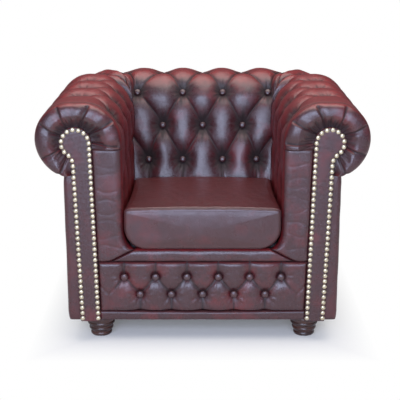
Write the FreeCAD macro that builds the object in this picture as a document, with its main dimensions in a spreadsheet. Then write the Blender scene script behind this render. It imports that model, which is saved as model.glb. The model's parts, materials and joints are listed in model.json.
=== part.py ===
import FreeCAD, Part
import math
import os
import re
import Sketcher

# Chesterfield armchair: hardwood frame, springs, tufted leather covers, nailed facings and a
# loose seat cushion. Millimetres, +Z up, the front faces -Y, origin on the floor under the middle.

SIZES = [
    ("seat_width", 504, "clear width between the inside arms"),
    ("arm_width", 184, "inside face of an arm to its outside panel"),
    ("arm_length", 578, "front of the arm board to the inside back corner"),
    ("cover_depth", 45, "tufted leather with its wadding"),
    ("roll_inner_radius", 125, "arm roll, inside curve"),
    ("roll_flat", 32, "arm roll, level top between the two curves"),
    ("roll_outer_radius", 115, "arm roll, outside curve"),
    ("roll_top", 785, "height of the top of the roll"),
    ("roll_under_angle", 14, "where the roll ends, degrees short of straight down"),
    ("back_lean", 83, "how far the inside back leans over its height"),
    ("tuck_height", 300, "lower edge of the inside covers"),
    ("low_row_distance", 180, "lowest button row, along the cover from its lower edge"),
    ("mid_row_distance", 307, "second button row along the cover"),
    ("high_row_distance", 437, "third button row along the cover"),
    ("top_row_distance", 588, "button row on top of the roll, along the cover"),
    ("arm_button_pitch", 160, "buttons along an arm"),
    ("arm_first_button", 100, "front plane to the first arm button"),
    ("back_button_pitch", 148, "buttons across the back"),
    ("tuft_depth", 30, "how deep a button pulls the cover in"),
    ("crease_depth", 12, "depth of the folded pleats between buttons"),
    ("tuft_radius", 36, "reach of the hollow round a button"),
    ("plain_front", 55, "the tufting begins over this distance behind the front of an arm"),
    ("corner_button_inset", 10, "outer back buttons of the second row, off the inside corner"),
    ("corner_button_shift", 6, "how much the back's outer creases draw in on that row"),
    ("grid_step", 8, "least spacing of the points that shape the tufting"),
    ("button_radius", 12, "covered button"),
    ("button_height", 9, "covered button"),
    ("scroll_bulge", 50, "padded scroll front stands proud of the arm board"),
    ("scroll_core", 28, "flat core of the arm front, where the facing lies"),
    ("scroll_pleat", 7, "depth of the pleats round the scroll"),
    ("arch_radius", 43, "nail line round the scroll"),
    ("arch_centre_out", 144, "nail arch centre from the inside face of the arm"),
    ("arch_centre_height", 662, "nail arch centre above the floor"),
    ("neck_curve", 40, "hollow curve of the nail line under the scroll"),
    ("neck_inner_foot", 87, "inner nail row at the foot of the facing"),
    ("neck_outer_foot", 137, "outer nail row at the foot of the facing"),
    ("neck_outer_top", 152, "outer nail row at the top of the neck"),
    ("facing_margin", 7, "nail line to the edge of the facing"),
    ("facing_thickness", 12, "nailed facing board with its leather"),
    ("nail_radius", 7.2, "dome nail head"),
    ("nail_height", 5.5, "dome nail head"),
    ("nail_pitch", 18.2, "distance between nails"),
    ("nail_foot", 82, "height of the lowest nail"),
    ("seam_height", 642, "seam between the inner border and the scroll"),
    ("lip_height", 314, "top of the seat lip"),
    ("lip_foot", 274, "lower edge of the seat lip"),
    ("lip_depth", 38, "seat lip stands proud of the front rail"),
    ("opening_top", 385, "where the border starts to curve under the cushion"),
    ("opening_half", 215, "half of the seat opening at the lip"),
    ("lip_mitre", 42, "apron's end to the lower end of the mitre between lip and border"),
    ("border_bulge", 12, "padded border stands proud of the scroll's core"),
    ("apron_foot", 104, "lower edge of the tufted apron"),
    ("apron_half", 331, "half width of the tufted apron"),
    ("apron_depth", 40, "apron stands proud of the front rail"),
    ("apron_tuft", 17, "how deep an apron button pulls"),
    ("apron_tuft_radius", 22, "reach of the hollow round an apron button"),
    ("apron_crease", 7, "depth of the apron's folds"),
    ("apron_edge", 14, "width of the apron's rounded edges"),
    ("apron_edge_depth", 10, "how far those edges turn in"),
    ("apron_seam", 3, "welt between the apron and the lip"),
    ("apron_pitch", 101, "buttons along the apron"),
    ("apron_row_high", 220, "upper apron buttons"),
    ("apron_row_low", 161, "lower apron buttons"),
    ("band_depth", 33, "plain band under the apron stands proud"),
    ("band_rise", 4, "the band's top edge rises by this much to its ends"),
    ("panel_thickness", 3, "outside leather on its card"),
    ("board_thickness", 18, "shaped arm board"),
    ("rail_thickness", 25, "base rails"),
    ("rail_height", 120, "side and back rails"),
    ("front_rail_height", 210, "front rail"),
    ("post_size", 45, "square posts"),
    ("top_rail_inner", 70, "arm top rail, inner edge from the inside face"),
    ("top_rail_outer", 172, "arm top rail, outer edge from the inside face"),
    ("top_rail_height", 600, "upper face of the top rails"),
    ("top_rail_thickness", 28, "top rails"),
    ("tack_rail_height", 288, "lower face of the tack rails"),
    ("tack_rail_depth", 40, "tack rails"),
    ("slab_thickness", 24.4, "foam on the inside of the arms and back"),
    ("spring_wire", 3.8, "zigzag spring wire"),
    ("spring_swing", 22, "half width of a zigzag spring"),
    ("spring_pitch", 39, "zigzag from one cross bar to the next"),
    ("spring_count", 5, "zigzag springs"),
    ("spring_spacing", 88, "zigzag springs side by side"),
    ("felt_thickness", 24, "felt over the springs"),
    ("deck_thickness", 4, "deck cloth under the cushion"),
    ("deck_margin", 2, "deck to the inside covers at its sides"),
    ("deck_inset", 12, "back edge of the deck in front of the back's lower edge"),
    ("dust_thickness", 1, "dust cloth under the frame"),
    ("webbing_width", 50, "webbing straps in the back"),
    ("webbing_first", 345, "height of the lowest strap"),
    ("webbing_pitch", 70, "from one strap to the next"),
    ("webbing_thickness", 2.5, "webbing straps in the back"),
    ("foot_height", 71, "foot with its glide"),
    ("foot_radius", 49.5, "widest ring of a foot"),
    ("foot_base_radius", 34, "lower end of a foot"),
    ("foot_shoulder", 7, "slope between a foot's top and its widest ring"),
    ("foot_groove", 3, "depth of the grooves turned in a foot"),
    ("foot_bead", 5, "height from a groove to the edge of the ring under it"),
    ("foot_rings", 3, "rings under the shoulder of a foot"),
    ("foot_out", 337, "feet from the middle of the chair"),
    ("foot_front_set", 30, "front feet behind the arm board's front"),
    ("foot_back_set", 88, "back feet behind the inside corner"),
    ("glide_height", 3, "glide under a foot"),
    ("glide_radius", 14, "glide under a foot"),
    ("bolt_radius", 4, "hanger bolt of a foot"),
    ("bolt_depth", 38, "hanger bolt into the foot and into the frame"),
    ("cushion_width", 500, "seat cushion"),
    ("cushion_depth", 535, "seat cushion"),
    ("cushion_thickness", 150, "seat cushion at its crown"),
    ("cushion_fall", 34, "the crown is this much lower at the back"),
    ("cushion_corner", 72, "rounded lower edges of the cushion"),
    ("cushion_shoulder", 30, "rounded upper edges of the cushion"),
    ("cushion_crown", 14, "the crown stands this far over the upper edges"),
    ("cushion_waist", 5, "how far the cushion's sides are drawn in"),
    ("cushion_proud", 5, "front of the cushion behind the front of the scrolls"),
    ("cushion_cover", 4, "cushion leather"),
    ("wrap_gap", 1.0, "clearance of the arm board inside its curved cover"),
    ("fit_gap", 0.3, "clearance between neighbouring pieces"),
    ("lift_gap", 0.3, "clearance under the loose cushion"),
]

document = FreeCAD.newDocument("chesterfield_armchair")
sheet = document.addObject("Spreadsheet::Sheet", "Sizes")
for row, (alias, value, meaning) in enumerate(SIZES, start=1):
    sheet.set("A%d" % row, meaning)
    sheet.set("B%d" % row, str(value))
    sheet.setAlias("B%d" % row, alias)
document.recompute()

ALIASES = {alias for alias, value, meaning in SIZES}
Vector = FreeCAD.Vector
parts = []


def size(alias):
    return float(sheet.get(alias))


def bound(text):
    """An expression in which every alias is looked up in the sheet."""
    return re.sub(r"[a-z][a-z_]*", lambda word: "Sizes." + word.group()
                  if word.group() in ALIASES else word.group(), text)


def keep(piece, label):
    piece.Label = label
    parts.append(piece)
    return piece


def bind(piece, **expressions):
    for name, text in expressions.items():
        piece.setExpression(name.replace("__", "."), bound(text))


# Places that many pieces share, as expressions.
FRONT = "((scroll_bulge - arm_length - roll_inner_radius - roll_flat - roll_outer_radius) / 2)"
CORNER = "(%s + arm_length)" % FRONT
INSIDE = "(seat_width / 2)"
BOARD_BACK = "(%s + fit_gap + board_thickness)" % FRONT
FOAM_FACE = "(%s + cover_depth + fit_gap)" % INSIDE
POST_IN = "(%s + top_rail_inner)" % INSIDE
SHELL_IN = "(%s + arm_width - panel_thickness)" % INSIDE
FLOOR_FRAME = "(foot_height + dust_thickness)"
TOP_RAIL_FOOT = "(top_rail_height - top_rail_thickness)"
FOOT_FRONT = "(%s + foot_front_set)" % FRONT
FOOT_BACK = "(%s + foot_back_set)" % CORNER

# The same places as numbers, for the shapes that are worked out below.
inside = size("seat_width") / 2
roll_reach = size("roll_inner_radius") + size("roll_flat") + size("roll_outer_radius")
front_y = (size("scroll_bulge") - size("arm_length") - roll_reach) / 2
corner_y = front_y + size("arm_length")
gap = size("fit_gap")
frame_foot = size("foot_height") + size("dust_thickness")
board_back_y = front_y + gap + size("board_thickness")


def box(name, x, y, z):
    """A board between two expressions along each axis."""
    board = document.addObject("Part::Box", name)
    bind(board, Length="(%s) - (%s)" % (x[1], x[0]), Width="(%s) - (%s)" % (y[1], y[0]),
         Height="(%s) - (%s)" % (z[1], z[0]), Placement__Base__x=x[0],
         Placement__Base__y=y[0], Placement__Base__z=z[0])
    return board


def sided(side, x):
    """A span given on the right, moved to the side asked for."""
    return x if side > 0 else ("-(%s)" % x[1], "-(%s)" % x[0])


def bored(name, wood, x, y, foot):
    """A piece of the frame with a hole up from its underside for a foot's bolt."""
    hole = document.addObject("Part::Cylinder", name + "_hole")
    bind(hole, Radius="bolt_radius", Height="bolt_depth + 2", Placement__Base__x=x,
         Placement__Base__y=y, Placement__Base__z=foot + " - 1")
    cut = document.addObject("Part::Cut", name)
    cut.Base, cut.Tool = wood, hole
    return cut


def group(name, members):
    together = document.addObject("Part::Compound", name)
    together.Links = members
    return together


def side_name(side):
    return "right" if side > 0 else "left"


def plane_of(body, role):
    return [item for item in body.Origin.OriginFeatures if item.Role == role][0]


def draw(body, name, role, segments, offset="0"):
    """A sketch of lines and arcs through points, closed at its corners.
    A segment is its start, or its start and a point on the way for an arc."""
    sketch = body.newObject("Sketcher::SketchObject", name)
    sketch.AttachmentSupport = [(plane_of(body, role), "")]
    sketch.MapMode = "FlatFace"
    sketch.setExpression("AttachmentOffset.Base.z", bound(offset))
    for here, after in zip(segments, segments[1:] + segments[:1]):
        start, end = Vector(*here[0], 0), Vector(*after[0], 0)
        if len(here) == 1:
            sketch.addGeometry(Part.LineSegment(start, end))
        else:
            sketch.addGeometry(Part.Arc(start, Vector(*here[1], 0), end))
    for index in range(len(segments)):
        sketch.addConstraint(Sketcher.Constraint("Block", index))
    return sketch


def pad(name, role, segments, length, offset="0"):
    """A body padded from an outline; in XZ sketches a pad grows towards the front."""
    body = document.addObject("PartDesign::Body", name)
    sketch = draw(body, name + "_outline", role, segments, offset)
    solid = body.newObject("PartDesign::Pad", name + "_pad")
    solid.Profile = sketch
    solid.setExpression("Length", bound(length))
    body.Tip = solid
    return body


def feature(name, shape):
    item = document.addObject("Part::Feature", name)
    item.Shape = shape
    return item


def keyhole(shift):
    """Points of the nail line moved outwards, in distance from the arm's inside face and height:
    foot and top of the inner line, crown, join with the hollow curve, its middle and its end."""
    centre_u, centre_z = size("arch_centre_out"), size("arch_centre_height")
    arch, hollow = size("arch_radius") + shift, size("neck_curve") - shift
    foot_z = size("nail_foot")
    inner_u, outer_u = size("neck_inner_foot") - shift, size("neck_outer_foot") + shift
    reach = math.hypot(centre_u - inner_u, centre_z - foot_z)
    lean = math.atan2(centre_u - inner_u, centre_z - foot_z) - math.asin(arch / reach)
    top = (centre_u - arch * math.cos(lean), centre_z + arch * math.sin(lean))
    neck_u = size("neck_outer_top") + shift
    side_u = neck_u + hollow
    side_z = centre_z - math.sqrt((arch + hollow) ** 2 - (side_u - centre_u) ** 2)
    toward = math.atan2(side_z - centre_z, side_u - centre_u)
    join = (centre_u + arch * math.cos(toward), centre_z + arch * math.sin(toward))
    middle = math.radians(180) + toward / 2
    halfway = (side_u + hollow * math.cos(middle), side_z - hollow * math.sin(middle - math.pi))
    return {"foot_in": (inner_u, foot_z), "top_in": top, "crown": (centre_u, centre_z + arch),
            "join": join, "bend": halfway, "neck": (neck_u, side_z), "foot_out": (outer_u, foot_z)}


def placed(side, points):
    """Arm sections given from the inside face, moved to the side of the chair asked for."""
    return [tuple((side * (inside + u), z) for u, z in segment) for segment in points]


# The wooden frame.

def base_rails():
    keep(box("frame_front_rail", ("-" + FOAM_FACE, FOAM_FACE),
             (FRONT + " + fit_gap", FRONT + " + fit_gap + rail_thickness"),
             (FLOOR_FRAME, FLOOR_FRAME + " + front_rail_height")), "frame_front_rail")
    back = "(%s + arm_width - panel_thickness)" % CORNER
    keep(box("frame_back_rail", ("-" + INSIDE, INSIDE), (back + " - rail_thickness", back),
             (FLOOR_FRAME, FLOOR_FRAME + " + rail_height")), "frame_back_rail")
    for side in (-1, 1):
        name = "frame_%s_rail" % side_name(side)
        keep(box(name, sided(side, (SHELL_IN + " - rail_thickness", SHELL_IN)), (BOARD_BACK, CORNER),
                 (FLOOR_FRAME, FLOOR_FRAME + " + rail_height")), name)


def corner_blocks():
    """Blocks that carry the feet: square ones in front, angled ones in the rounded back corners."""
    members = []
    outer = size("arm_width") - size("panel_thickness")
    inner = size("top_rail_inner")
    for side in (-1, 1):
        span = ("%s + post_size" % POST_IN, SHELL_IN + " - rail_thickness")
        members.append(box("front_block", sided(side, span), (BOARD_BACK, BOARD_BACK + " + post_size"),
                           (FLOOR_FRAME, FLOOR_FRAME + " + post_size")))
        ring = quarter_ring(side, inner, outer)
        corners = [(point,) for segment in ring for point in segment]
        angled = pad("back_block", "XY_Plane", corners, "post_size", FLOOR_FRAME)
        members.append(bored("bored_block", angled, "%d * foot_out" % side, FOOT_BACK, FLOOR_FRAME))
    keep(group("frame_corner_blocks", members), "frame_corner_blocks")


def quarter_ring(side, inner, outer):
    half = math.sqrt(0.5)
    pivot = side * inside

    def spot(radius, across, along):
        return (pivot + side * radius * across, corner_y + radius * along)

    return [(spot(outer, 1, 0), spot(outer, half, half)), (spot(outer, 0, 1),),
            (spot(inner, 0, 1), spot(inner, half, half)), (spot(inner, 1, 0),)]


def posts():
    rise = (FLOOR_FRAME, TOP_RAIL_FOOT)
    front = []
    for side in (-1, 1):
        post = box("front_post", sided(side, (POST_IN, POST_IN + " + post_size")),
                   (BOARD_BACK, BOARD_BACK + " + post_size"), rise)
        front.append(bored("bored_post", post, "%d * foot_out" % side, FOOT_FRONT, FLOOR_FRAME))
    keep(group("frame_front_posts", front), "frame_front_posts")
    ring_top = FLOOR_FRAME + " + post_size"
    rear = [box("rear_post", sided(side, (POST_IN, POST_IN + " + post_size")),
                (CORNER, CORNER + " + post_size"), (ring_top, TOP_RAIL_FOOT)) for side in (-1, 1)]
    keep(group("frame_rear_posts", rear), "frame_rear_posts")
    face = "(%s + arm_width - panel_thickness - rail_thickness)" % CORNER
    back = [box("back_post", sided(side, (INSIDE + " - post_size", INSIDE)),
                (face + " - post_size", face), rise) for side in (-1, 1)]
    keep(group("frame_back_posts", back), "frame_back_posts")


def top_rails():
    inner, outer = size("top_rail_inner"), size("top_rail_outer")
    for side in (-1, 1):
        name = "%s_arm_top_rail" % side_name(side)
        ring = quarter_ring(side, inner, outer)
        front_in = ((side * (inside + inner), board_back_y),)
        front_out = ((side * (inside + outer), board_back_y),)
        outline = ring + [front_in, front_out]
        keep(pad(name, "XY_Plane", outline, "top_rail_thickness", TOP_RAIL_FOOT), name)
    keep(box("back_top_rail", ("-" + INSIDE, INSIDE),
             (CORNER + " + top_rail_inner", CORNER + " + top_rail_outer"),
             (TOP_RAIL_FOOT, "top_rail_height")), "back_top_rail")


def tack_rails():
    rise = ("tack_rail_height", "tack_rail_height + tack_rail_depth")
    for side in (-1, 1):
        name = "%s_arm_tack_rail" % side_name(side)
        keep(box(name, sided(side, (POST_IN, POST_IN + " + rail_thickness")),
                 (BOARD_BACK + " + post_size", CORNER), rise), name)
    depth = (CORNER, CORNER + " + rail_thickness")
    keep(box("back_tack_rail", ("-" + POST_IN, POST_IN), depth, rise), "back_tack_rail")
    keep(box("frame_spring_rail", ("-" + POST_IN, POST_IN), depth,
             ("tack_rail_height - 2 * post_size", FLOOR_FRAME + " + front_rail_height")),
         "frame_spring_rail")


def scroll_boards():
    """Arm boards cut to the scroll, a cover and its foam smaller than the finished arm."""
    shift = size("cover_depth") + size("wrap_gap")
    for side in (-1, 1):
        name = "%s_scroll_board" % side_name(side)
        outline = arm_section(shift)
        outer = size("arm_width") - size("panel_thickness")
        end_u, end_z = outline[-1][0]
        drop = (outer - end_u) / math.tan(math.radians(size("roll_under_angle")))
        side_z = end_z - drop - 2 * size("wrap_gap")
        segments = [((shift, frame_foot),)] + outline + [((outer, side_z),), ((outer, frame_foot),)]
        keep(pad(name, "XZ_Plane", placed(side, segments), "board_thickness",
                 "-(%s)" % BOARD_BACK), name)


def arm_section(shift):
    """The roll's outline moved inwards, from the seat up and over to its end under the roll."""
    inner, outer = size("roll_inner_radius"), size("roll_outer_radius")
    top, flat = size("roll_top"), size("roll_flat")
    near, far = (inner, top - inner), (inner + flat, top - outer)
    half = math.radians(135)
    end = math.radians(size("roll_under_angle") - 90)
    bend = (math.pi / 2 + end) / 2
    small, large = inner - shift, outer - shift
    return [((shift, near[1]), (near[0] + small * math.cos(half), near[1] + small * math.sin(half))),
            ((near[0], top - shift),),
            ((far[0], top - shift), (far[0] + large * math.cos(bend), far[1] + large * math.sin(bend))),
            ((far[0] + large * math.cos(end), far[1] + large * math.sin(end)),)]


base_rails()
corner_blocks()
posts()
top_rails()
tack_rails()
scroll_boards()


# Faceted soft forms: flat triangles over a grid of points that a formula gives.

class Facets:
    """Collects triangles that share their corners, and closes them into a solid."""

    def __init__(self):
        self.corners = {}
        self.triangles = []

    def corner(self, point):
        key = tuple(round(value, 2) for value in point)
        return self.corners.setdefault(key, len(self.corners))

    def triangle(self, *points):
        indices = tuple(self.corner(point) for point in points)
        if len(set(indices)) == 3:
            self.triangles.append(indices)

    def grid(self, rows):
        """Quads between equal rows of points, each cut along its shorter diagonal."""
        for low, high in zip(rows, rows[1:]):
            for a, b, d, c in zip(low, low[1:], high, high[1:]):
                if math.dist(a, c) < math.dist(b, d):
                    self.triangle(a, b, c)
                    self.triangle(a, c, d)
                else:
                    self.triangle(a, b, d)
                    self.triangle(b, c, d)

    def stitch(self, one, other):
        """A strip between two lines of points that start and end side by side."""
        i, j = 0, 0
        shares, other_shares = length_shares(one), length_shares(other)
        while i < len(one) - 1 or j < len(other) - 1:
            if shares[i + 1] <= other_shares[j + 1]:
                self.triangle(one[i], one[i + 1], other[j])
                i += 1
            else:
                self.triangle(one[i], other[j + 1], other[j])
                j += 1

    def polygon(self, points, first, second):
        """A flat face through the points, cut into triangles on two of its axes."""
        flat = [(point[first], point[second]) for point in points]
        order = list(range(len(points)))
        if turn_sum(flat) < 0:
            order.reverse()
        while len(order) > 3:
            ear = find_ear(flat, order)
            last, here, after = order[ear - 1], order[ear], order[(ear + 1) % len(order)]
            self.triangle(points[last], points[here], points[after])
            del order[ear]
        self.triangle(*(points[index] for index in order))

    def solid(self):
        """One closed solid; neighbours are turned to face the same way first."""
        faces = face_alike(self.triangles)
        points = [Vector(*key) for key in self.corners]
        shell = Part.Shape()
        shell.makeShapeFromMesh((points, faces), 0.0001)
        result = Part.Solid(shell)
        if result.Volume < 0:
            result.reverse()
        return result


def length_shares(line):
    """Share of a line's length at each of its points, with an end mark past the last."""
    run = [0.0]
    for start, end in zip(line, line[1:]):
        run.append(run[-1] + math.dist(start, end))
    return [value / run[-1] for value in run] + [9.0]


def turn_sum(flat):
    return sum(a[0] * b[1] - b[0] * a[1] for a, b in zip(flat, flat[1:] + flat[:1]))


def bend_at(a, b, c):
    return (b[0] - a[0]) * (c[1] - b[1]) - (b[1] - a[1]) * (c[0] - b[0])


def find_ear(flat, order):
    """The corner with the best shaped triangle that holds no other corner."""
    best, choice = -1.0, 0
    for place, here in enumerate(order):
        a, b, c = flat[order[place - 1]], flat[here], flat[order[(place + 1) % len(order)]]
        area = bend_at(a, b, c)
        if area <= 1e-9:
            continue
        quality = area / max(math.dist(a, b), math.dist(b, c), math.dist(c, a)) ** 2
        if quality <= best:
            continue
        inside_points = (flat[other] for other in order)
        if any(point not in (a, b, c) and min(bend_at(a, b, point), bend_at(b, c, point),
                                              bend_at(c, a, point)) >= 0
               for point in inside_points):
            continue
        best, choice = quality, place
    return choice


def face_alike(triangles):
    """Triangles turned so that each shared side runs opposite ways in its two faces."""
    sides = {}
    for index, (a, b, c) in enumerate(triangles):
        for side in ((a, b), (b, c), (c, a)):
            sides.setdefault(frozenset(side), []).append(index)
    turned = {0: triangles[0]}
    waiting = [0]
    while waiting:
        index = waiting.pop()
        a, b, c = turned[index]
        for start, end in ((a, b), (b, c), (c, a)):
            for other in sides[frozenset((start, end))]:
                if other in turned:
                    continue
                d, e, f = triangles[other]
                same = (start, end) in ((d, e), (e, f), (f, d))
                turned[other] = (f, e, d) if same else (d, e, f)
                waiting.append(other)
    return [turned[index] for index in range(len(triangles))]


def smooth(value):
    value = min(max(value, 0.0), 1.0)
    return value * value * (3 - 2 * value)


def pillow(share):
    """Height across a pillow, 0 on the creases at whole numbers and 1 between them."""
    return 1 - abs(2 * (share % 1.0) - 1) ** 2.6


def pillow_height(column, row, last_row, front=None):
    """Diamond pillows between the first and last button rows, straight channels beyond them."""
    if front is not None and column < front:
        if row > last_row:
            return pillow((row - last_row) / 2) * pillow(column - front)
        return 1.0 if row < 0 else pillow((row - last_row) / 2) ** 2
    if row > last_row:
        return pillow(column + last_row / 2) ** 2
    if row < 0:
        return pillow(column) ** 2
    return pillow(column + row / 2) * pillow(column - row / 2)


class Roll:
    """Section of an arm or the back: up the inside, over the roll and under it."""

    def __init__(self, lean):
        radius, top = size("roll_inner_radius"), size("roll_top")
        self.start = (-lean, size("tuck_height"))
        self.near = (radius, top - radius)
        self.far = (radius + size("roll_flat"), top - size("roll_outer_radius"))
        across, rise = self.near[0] - self.start[0], self.near[1] - self.start[1]
        reach = math.hypot(across, rise)
        self.slope = math.atan2(rise, across) + math.asin(radius / reach)
        self.line = math.sqrt(reach ** 2 - radius ** 2)
        self.near_arc = radius * self.slope
        self.far_arc = size("roll_outer_radius") * math.radians(180 - size("roll_under_angle"))
        self.length = self.line + self.near_arc + size("roll_flat") + self.far_arc

    def at(self, along, depth):
        """Distance from the inside face, and height, of a point a depth under the surface."""
        if along <= self.line:
            u = self.start[0] + along * math.cos(self.slope)
            z = self.start[1] + along * math.sin(self.slope)
            return u + depth * math.sin(self.slope), z - depth * math.cos(self.slope)
        along -= self.line
        if along <= self.near_arc:
            angle = self.slope + math.pi / 2 - along / size("roll_inner_radius")
            reach = size("roll_inner_radius") - depth
            return self.near[0] + reach * math.cos(angle), self.near[1] + reach * math.sin(angle)
        along -= self.near_arc
        if along <= size("roll_flat"):
            return self.near[0] + along, size("roll_top") - depth
        along -= size("roll_flat")
        angle = math.pi / 2 - along / size("roll_outer_radius")
        reach = size("roll_outer_radius") - depth
        return self.far[0] + reach * math.cos(angle), self.far[1] + reach * math.sin(angle)


arm_roll = Roll(0.0)
back_roll = Roll(size("back_lean"))
turn_radius = size("roll_inner_radius") + size("roll_flat")
row_places = (size("top_row_distance"), size("high_row_distance"),
              size("mid_row_distance"), size("low_row_distance"))


def row_number(along):
    """Place among the button rows: 0 on top of the roll, 3 lowest, beyond them outside."""
    if along > row_places[0]:
        return -(along - row_places[0]) / size("arm_button_pitch")
    for number in range(3):
        high, low = row_places[number], row_places[number + 1]
        if along >= low:
            return number + (high - along) / (high - low)
    return 3 + (row_places[3] - along) / (row_places[2] - row_places[3])


def arm_place(side, along, u, z):
    """From distance behind the arm's front plane; past the corner it turns about it."""
    past = along - size("arm_length")
    if past <= 0:
        return (side * (inside + u), front_y + along, z)
    angle = past / turn_radius
    return (side * (inside + u * math.cos(angle)), corner_y + u * math.sin(angle), z)


def back_place(side, across, u, z):
    """From distance off the middle, to the side given; past the corner it turns about it."""
    past = across - inside
    if past <= 0 or u <= 0:
        return (side * across, corner_y + u, z)
    angle = past / turn_radius
    return (side * (inside + u * math.sin(angle)), corner_y + u * math.cos(angle), z)


def mitre(point):
    """Signed distance, roughly, from the mitre where an arm's cover meets the back's."""
    centre_z = size("roll_top") - size("roll_inner_radius")
    lean = size("back_lean") / (centre_z - size("tuck_height"))
    return (point[1] - corner_y) - (abs(point[0]) - inside) - lean * (point[2] - centre_z)


def to_mitre(point_at, runs_back, low, high, back_off):
    """How far along a line of the cover runs before it meets the mitre."""
    sign = 1 if runs_back else -1
    for _ in range(40):
        middle = (low + high) / 2
        if sign * mitre(point_at(middle)) + back_off < 0:
            low = middle
        else:
            high = middle
    return low


def longest(place):
    straight = size("arm_length") if place is arm_place else inside
    return straight + turn_radius * 1.5


def arm_buttons_at():
    """Places of the arm's hollows, along the arm and along the section."""
    spots = []
    for number, along in enumerate(row_places):
        start = size("arm_first_button") + (0 if number % 2 else size("arm_button_pitch") / 2)
        u, z = arm_roll.at(along, 0)
        limit = to_mitre(lambda far: arm_place(1, far, u, z), True, 0, longest(arm_place), 0)
        limit -= 2 * size("button_radius")
        while start < limit:
            spots.append((start, along))
            start += size("arm_button_pitch")
    return spots


def back_column(across, row):
    """Place among the button columns; the outer ones spread at the top and close in below."""
    pitch = size("back_button_pitch")
    if across <= pitch:
        return across / pitch
    row = min(max(row, 0.0), 3.0)
    drawn = inside - pitch - size("corner_button_shift")
    spread = (pitch / 2, drawn, pitch / 2, (inside - pitch) / 2)
    number = min(int(row), 2)
    half = spread[number] + (row - number) * (spread[number + 1] - spread[number])
    return 1 + 0.5 * (across - pitch) / half


def back_buttons_at():
    """Places of the back buttons off the middle, and along the section."""
    pitch = size("back_button_pitch")
    spots = []
    for number, along in enumerate(row_places):
        if number % 2:
            corner = inside - size("corner_button_inset")
            outer = corner if number == 1 else (inside + pitch) / 2
            spots += [(pitch / 2, along), (outer, along)]
        else:
            spots += [(0.0, along), (pitch, along)]
            if number == 0:
                spots.append((2 * pitch, along))
    return spots


arm_spots = arm_buttons_at()
back_spots = back_buttons_at()


def hollow(spots, across, along):
    reach = min(math.hypot(across - spot[0], along - spot[1]) for spot in spots)
    return math.exp(-(reach / size("tuft_radius")) ** 2)


def cover_depth_at(column, row, front, dip):
    crease = size("crease_depth") * (1 - pillow_height(column, row, 3, front))
    return crease + (size("tuft_depth") - size("crease_depth")) * dip


def arm_depth(across, along):
    row = row_number(along)
    column = (across - size("arm_first_button")) / size("arm_button_pitch") - 0.5
    depth = cover_depth_at(column, row, -0.5, hollow(arm_spots, across, along))
    return depth * smooth(across / size("plain_front"))


def back_depth(across, along):
    row = row_number(along)
    column = back_column(across, row)
    return cover_depth_at(column, row, None, hollow(back_spots, across, along))


def span(low, high, count):
    return [low + (high - low) * index / count for index in range(count + 1)]


def section_levels(roll, fine):
    """Distances along the section, with a level on each button row where it is fine."""
    if not fine:
        return ([0.0] + span(roll.line, roll.line + roll.near_arc, 6)
                + span(roll.length - roll.far_arc, roll.length, 9))
    marks = [0.0] + sorted(row_places) + [roll.length]
    counts = [5, 5, 5, 6, 9]
    levels = [0.0]
    for low, high, count in zip(marks, marks[1:], counts):
        levels += span(low, high, count)[1:]
    return levels


def reach_out(place, side, roll, steps, cells, depth_of, along):
    """One line of points from the front, or the middle, to the mitre."""
    def point_at(far):
        return place(side, far, *roll.at(along, depth_of(far, along)))

    last = to_mitre(point_at, place is arm_place, steps[-1] * 0.1, longest(place), gap)
    start = min(steps[-1], last - size("grid_step") * cells)
    stations = [step for step in steps if step < start - size("grid_step") / 2]
    while len(stations) < len(steps):
        stations.append(start)
    stations += span(start, last, cells)[1:]
    return [point_at(station) for station in stations]


def cover_grid(place, side, roll, steps, cells, levels, depth_of):
    return [reach_out(place, side, roll, steps, cells, depth_of, along) for along in levels]


def close_sheet(facets, outer, inner):
    """Joins the free edges of an outer and an inner grid."""
    facets.stitch(outer[0], inner[0])
    facets.stitch(outer[-1], inner[-1])


def side_strips(facets, outer, inner):
    for column in (0, -1):
        facets.stitch([row[column] for row in outer], [row[column] for row in inner])


def end_cap(facets, outer, inner, column, first, second):
    edge = [row[column] for row in outer] + [row[column] for row in reversed(inner)]
    facets.polygon(edge, first, second)


# Evenly spaced points along the arm and off the middle of the back, seven to a button's pitch.
arm_steps = span(0, size("arm_button_pitch") / 7 * 20, 20)
back_steps = span(0, size("back_button_pitch") / 7 * 10, 10)


def arm_tufting(side):
    """Diamond tufted cover of one arm, from its front edge to the mitre in the corner."""
    fine, plain = section_levels(arm_roll, True), section_levels(arm_roll, False)
    outer = cover_grid(arm_place, side, arm_roll, arm_steps, 8, fine, arm_depth)
    inner = cover_grid(arm_place, side, arm_roll, [0, arm_steps[-1]], 6, plain,
                       lambda across, along: size("cover_depth"))
    facets = Facets()
    facets.grid(outer)
    facets.grid(inner)
    close_sheet(facets, outer, inner)
    side_strips(facets, outer, inner)
    return facets


def mirrored(rows_right, rows_left):
    return [left[::-1] + right[1:] for right, left in zip(rows_right, rows_left)]


def back_tufting():
    """Diamond tufted cover of the back, mitred to the arms at both ends."""
    fine, plain = section_levels(back_roll, True), section_levels(back_roll, False)
    deep = lambda across, along: size("cover_depth")
    outer = mirrored(*(cover_grid(back_place, side, back_roll, back_steps, 6, fine, back_depth)
                       for side in (1, -1)))
    inner = mirrored(*(cover_grid(back_place, side, back_roll, [0, back_steps[-1]], 6, plain, deep)
                       for side in (1, -1)))
    facets = Facets()
    facets.grid(outer)
    facets.grid(inner)
    close_sheet(facets, outer, inner)
    side_strips(facets, outer, inner)
    return facets


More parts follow.
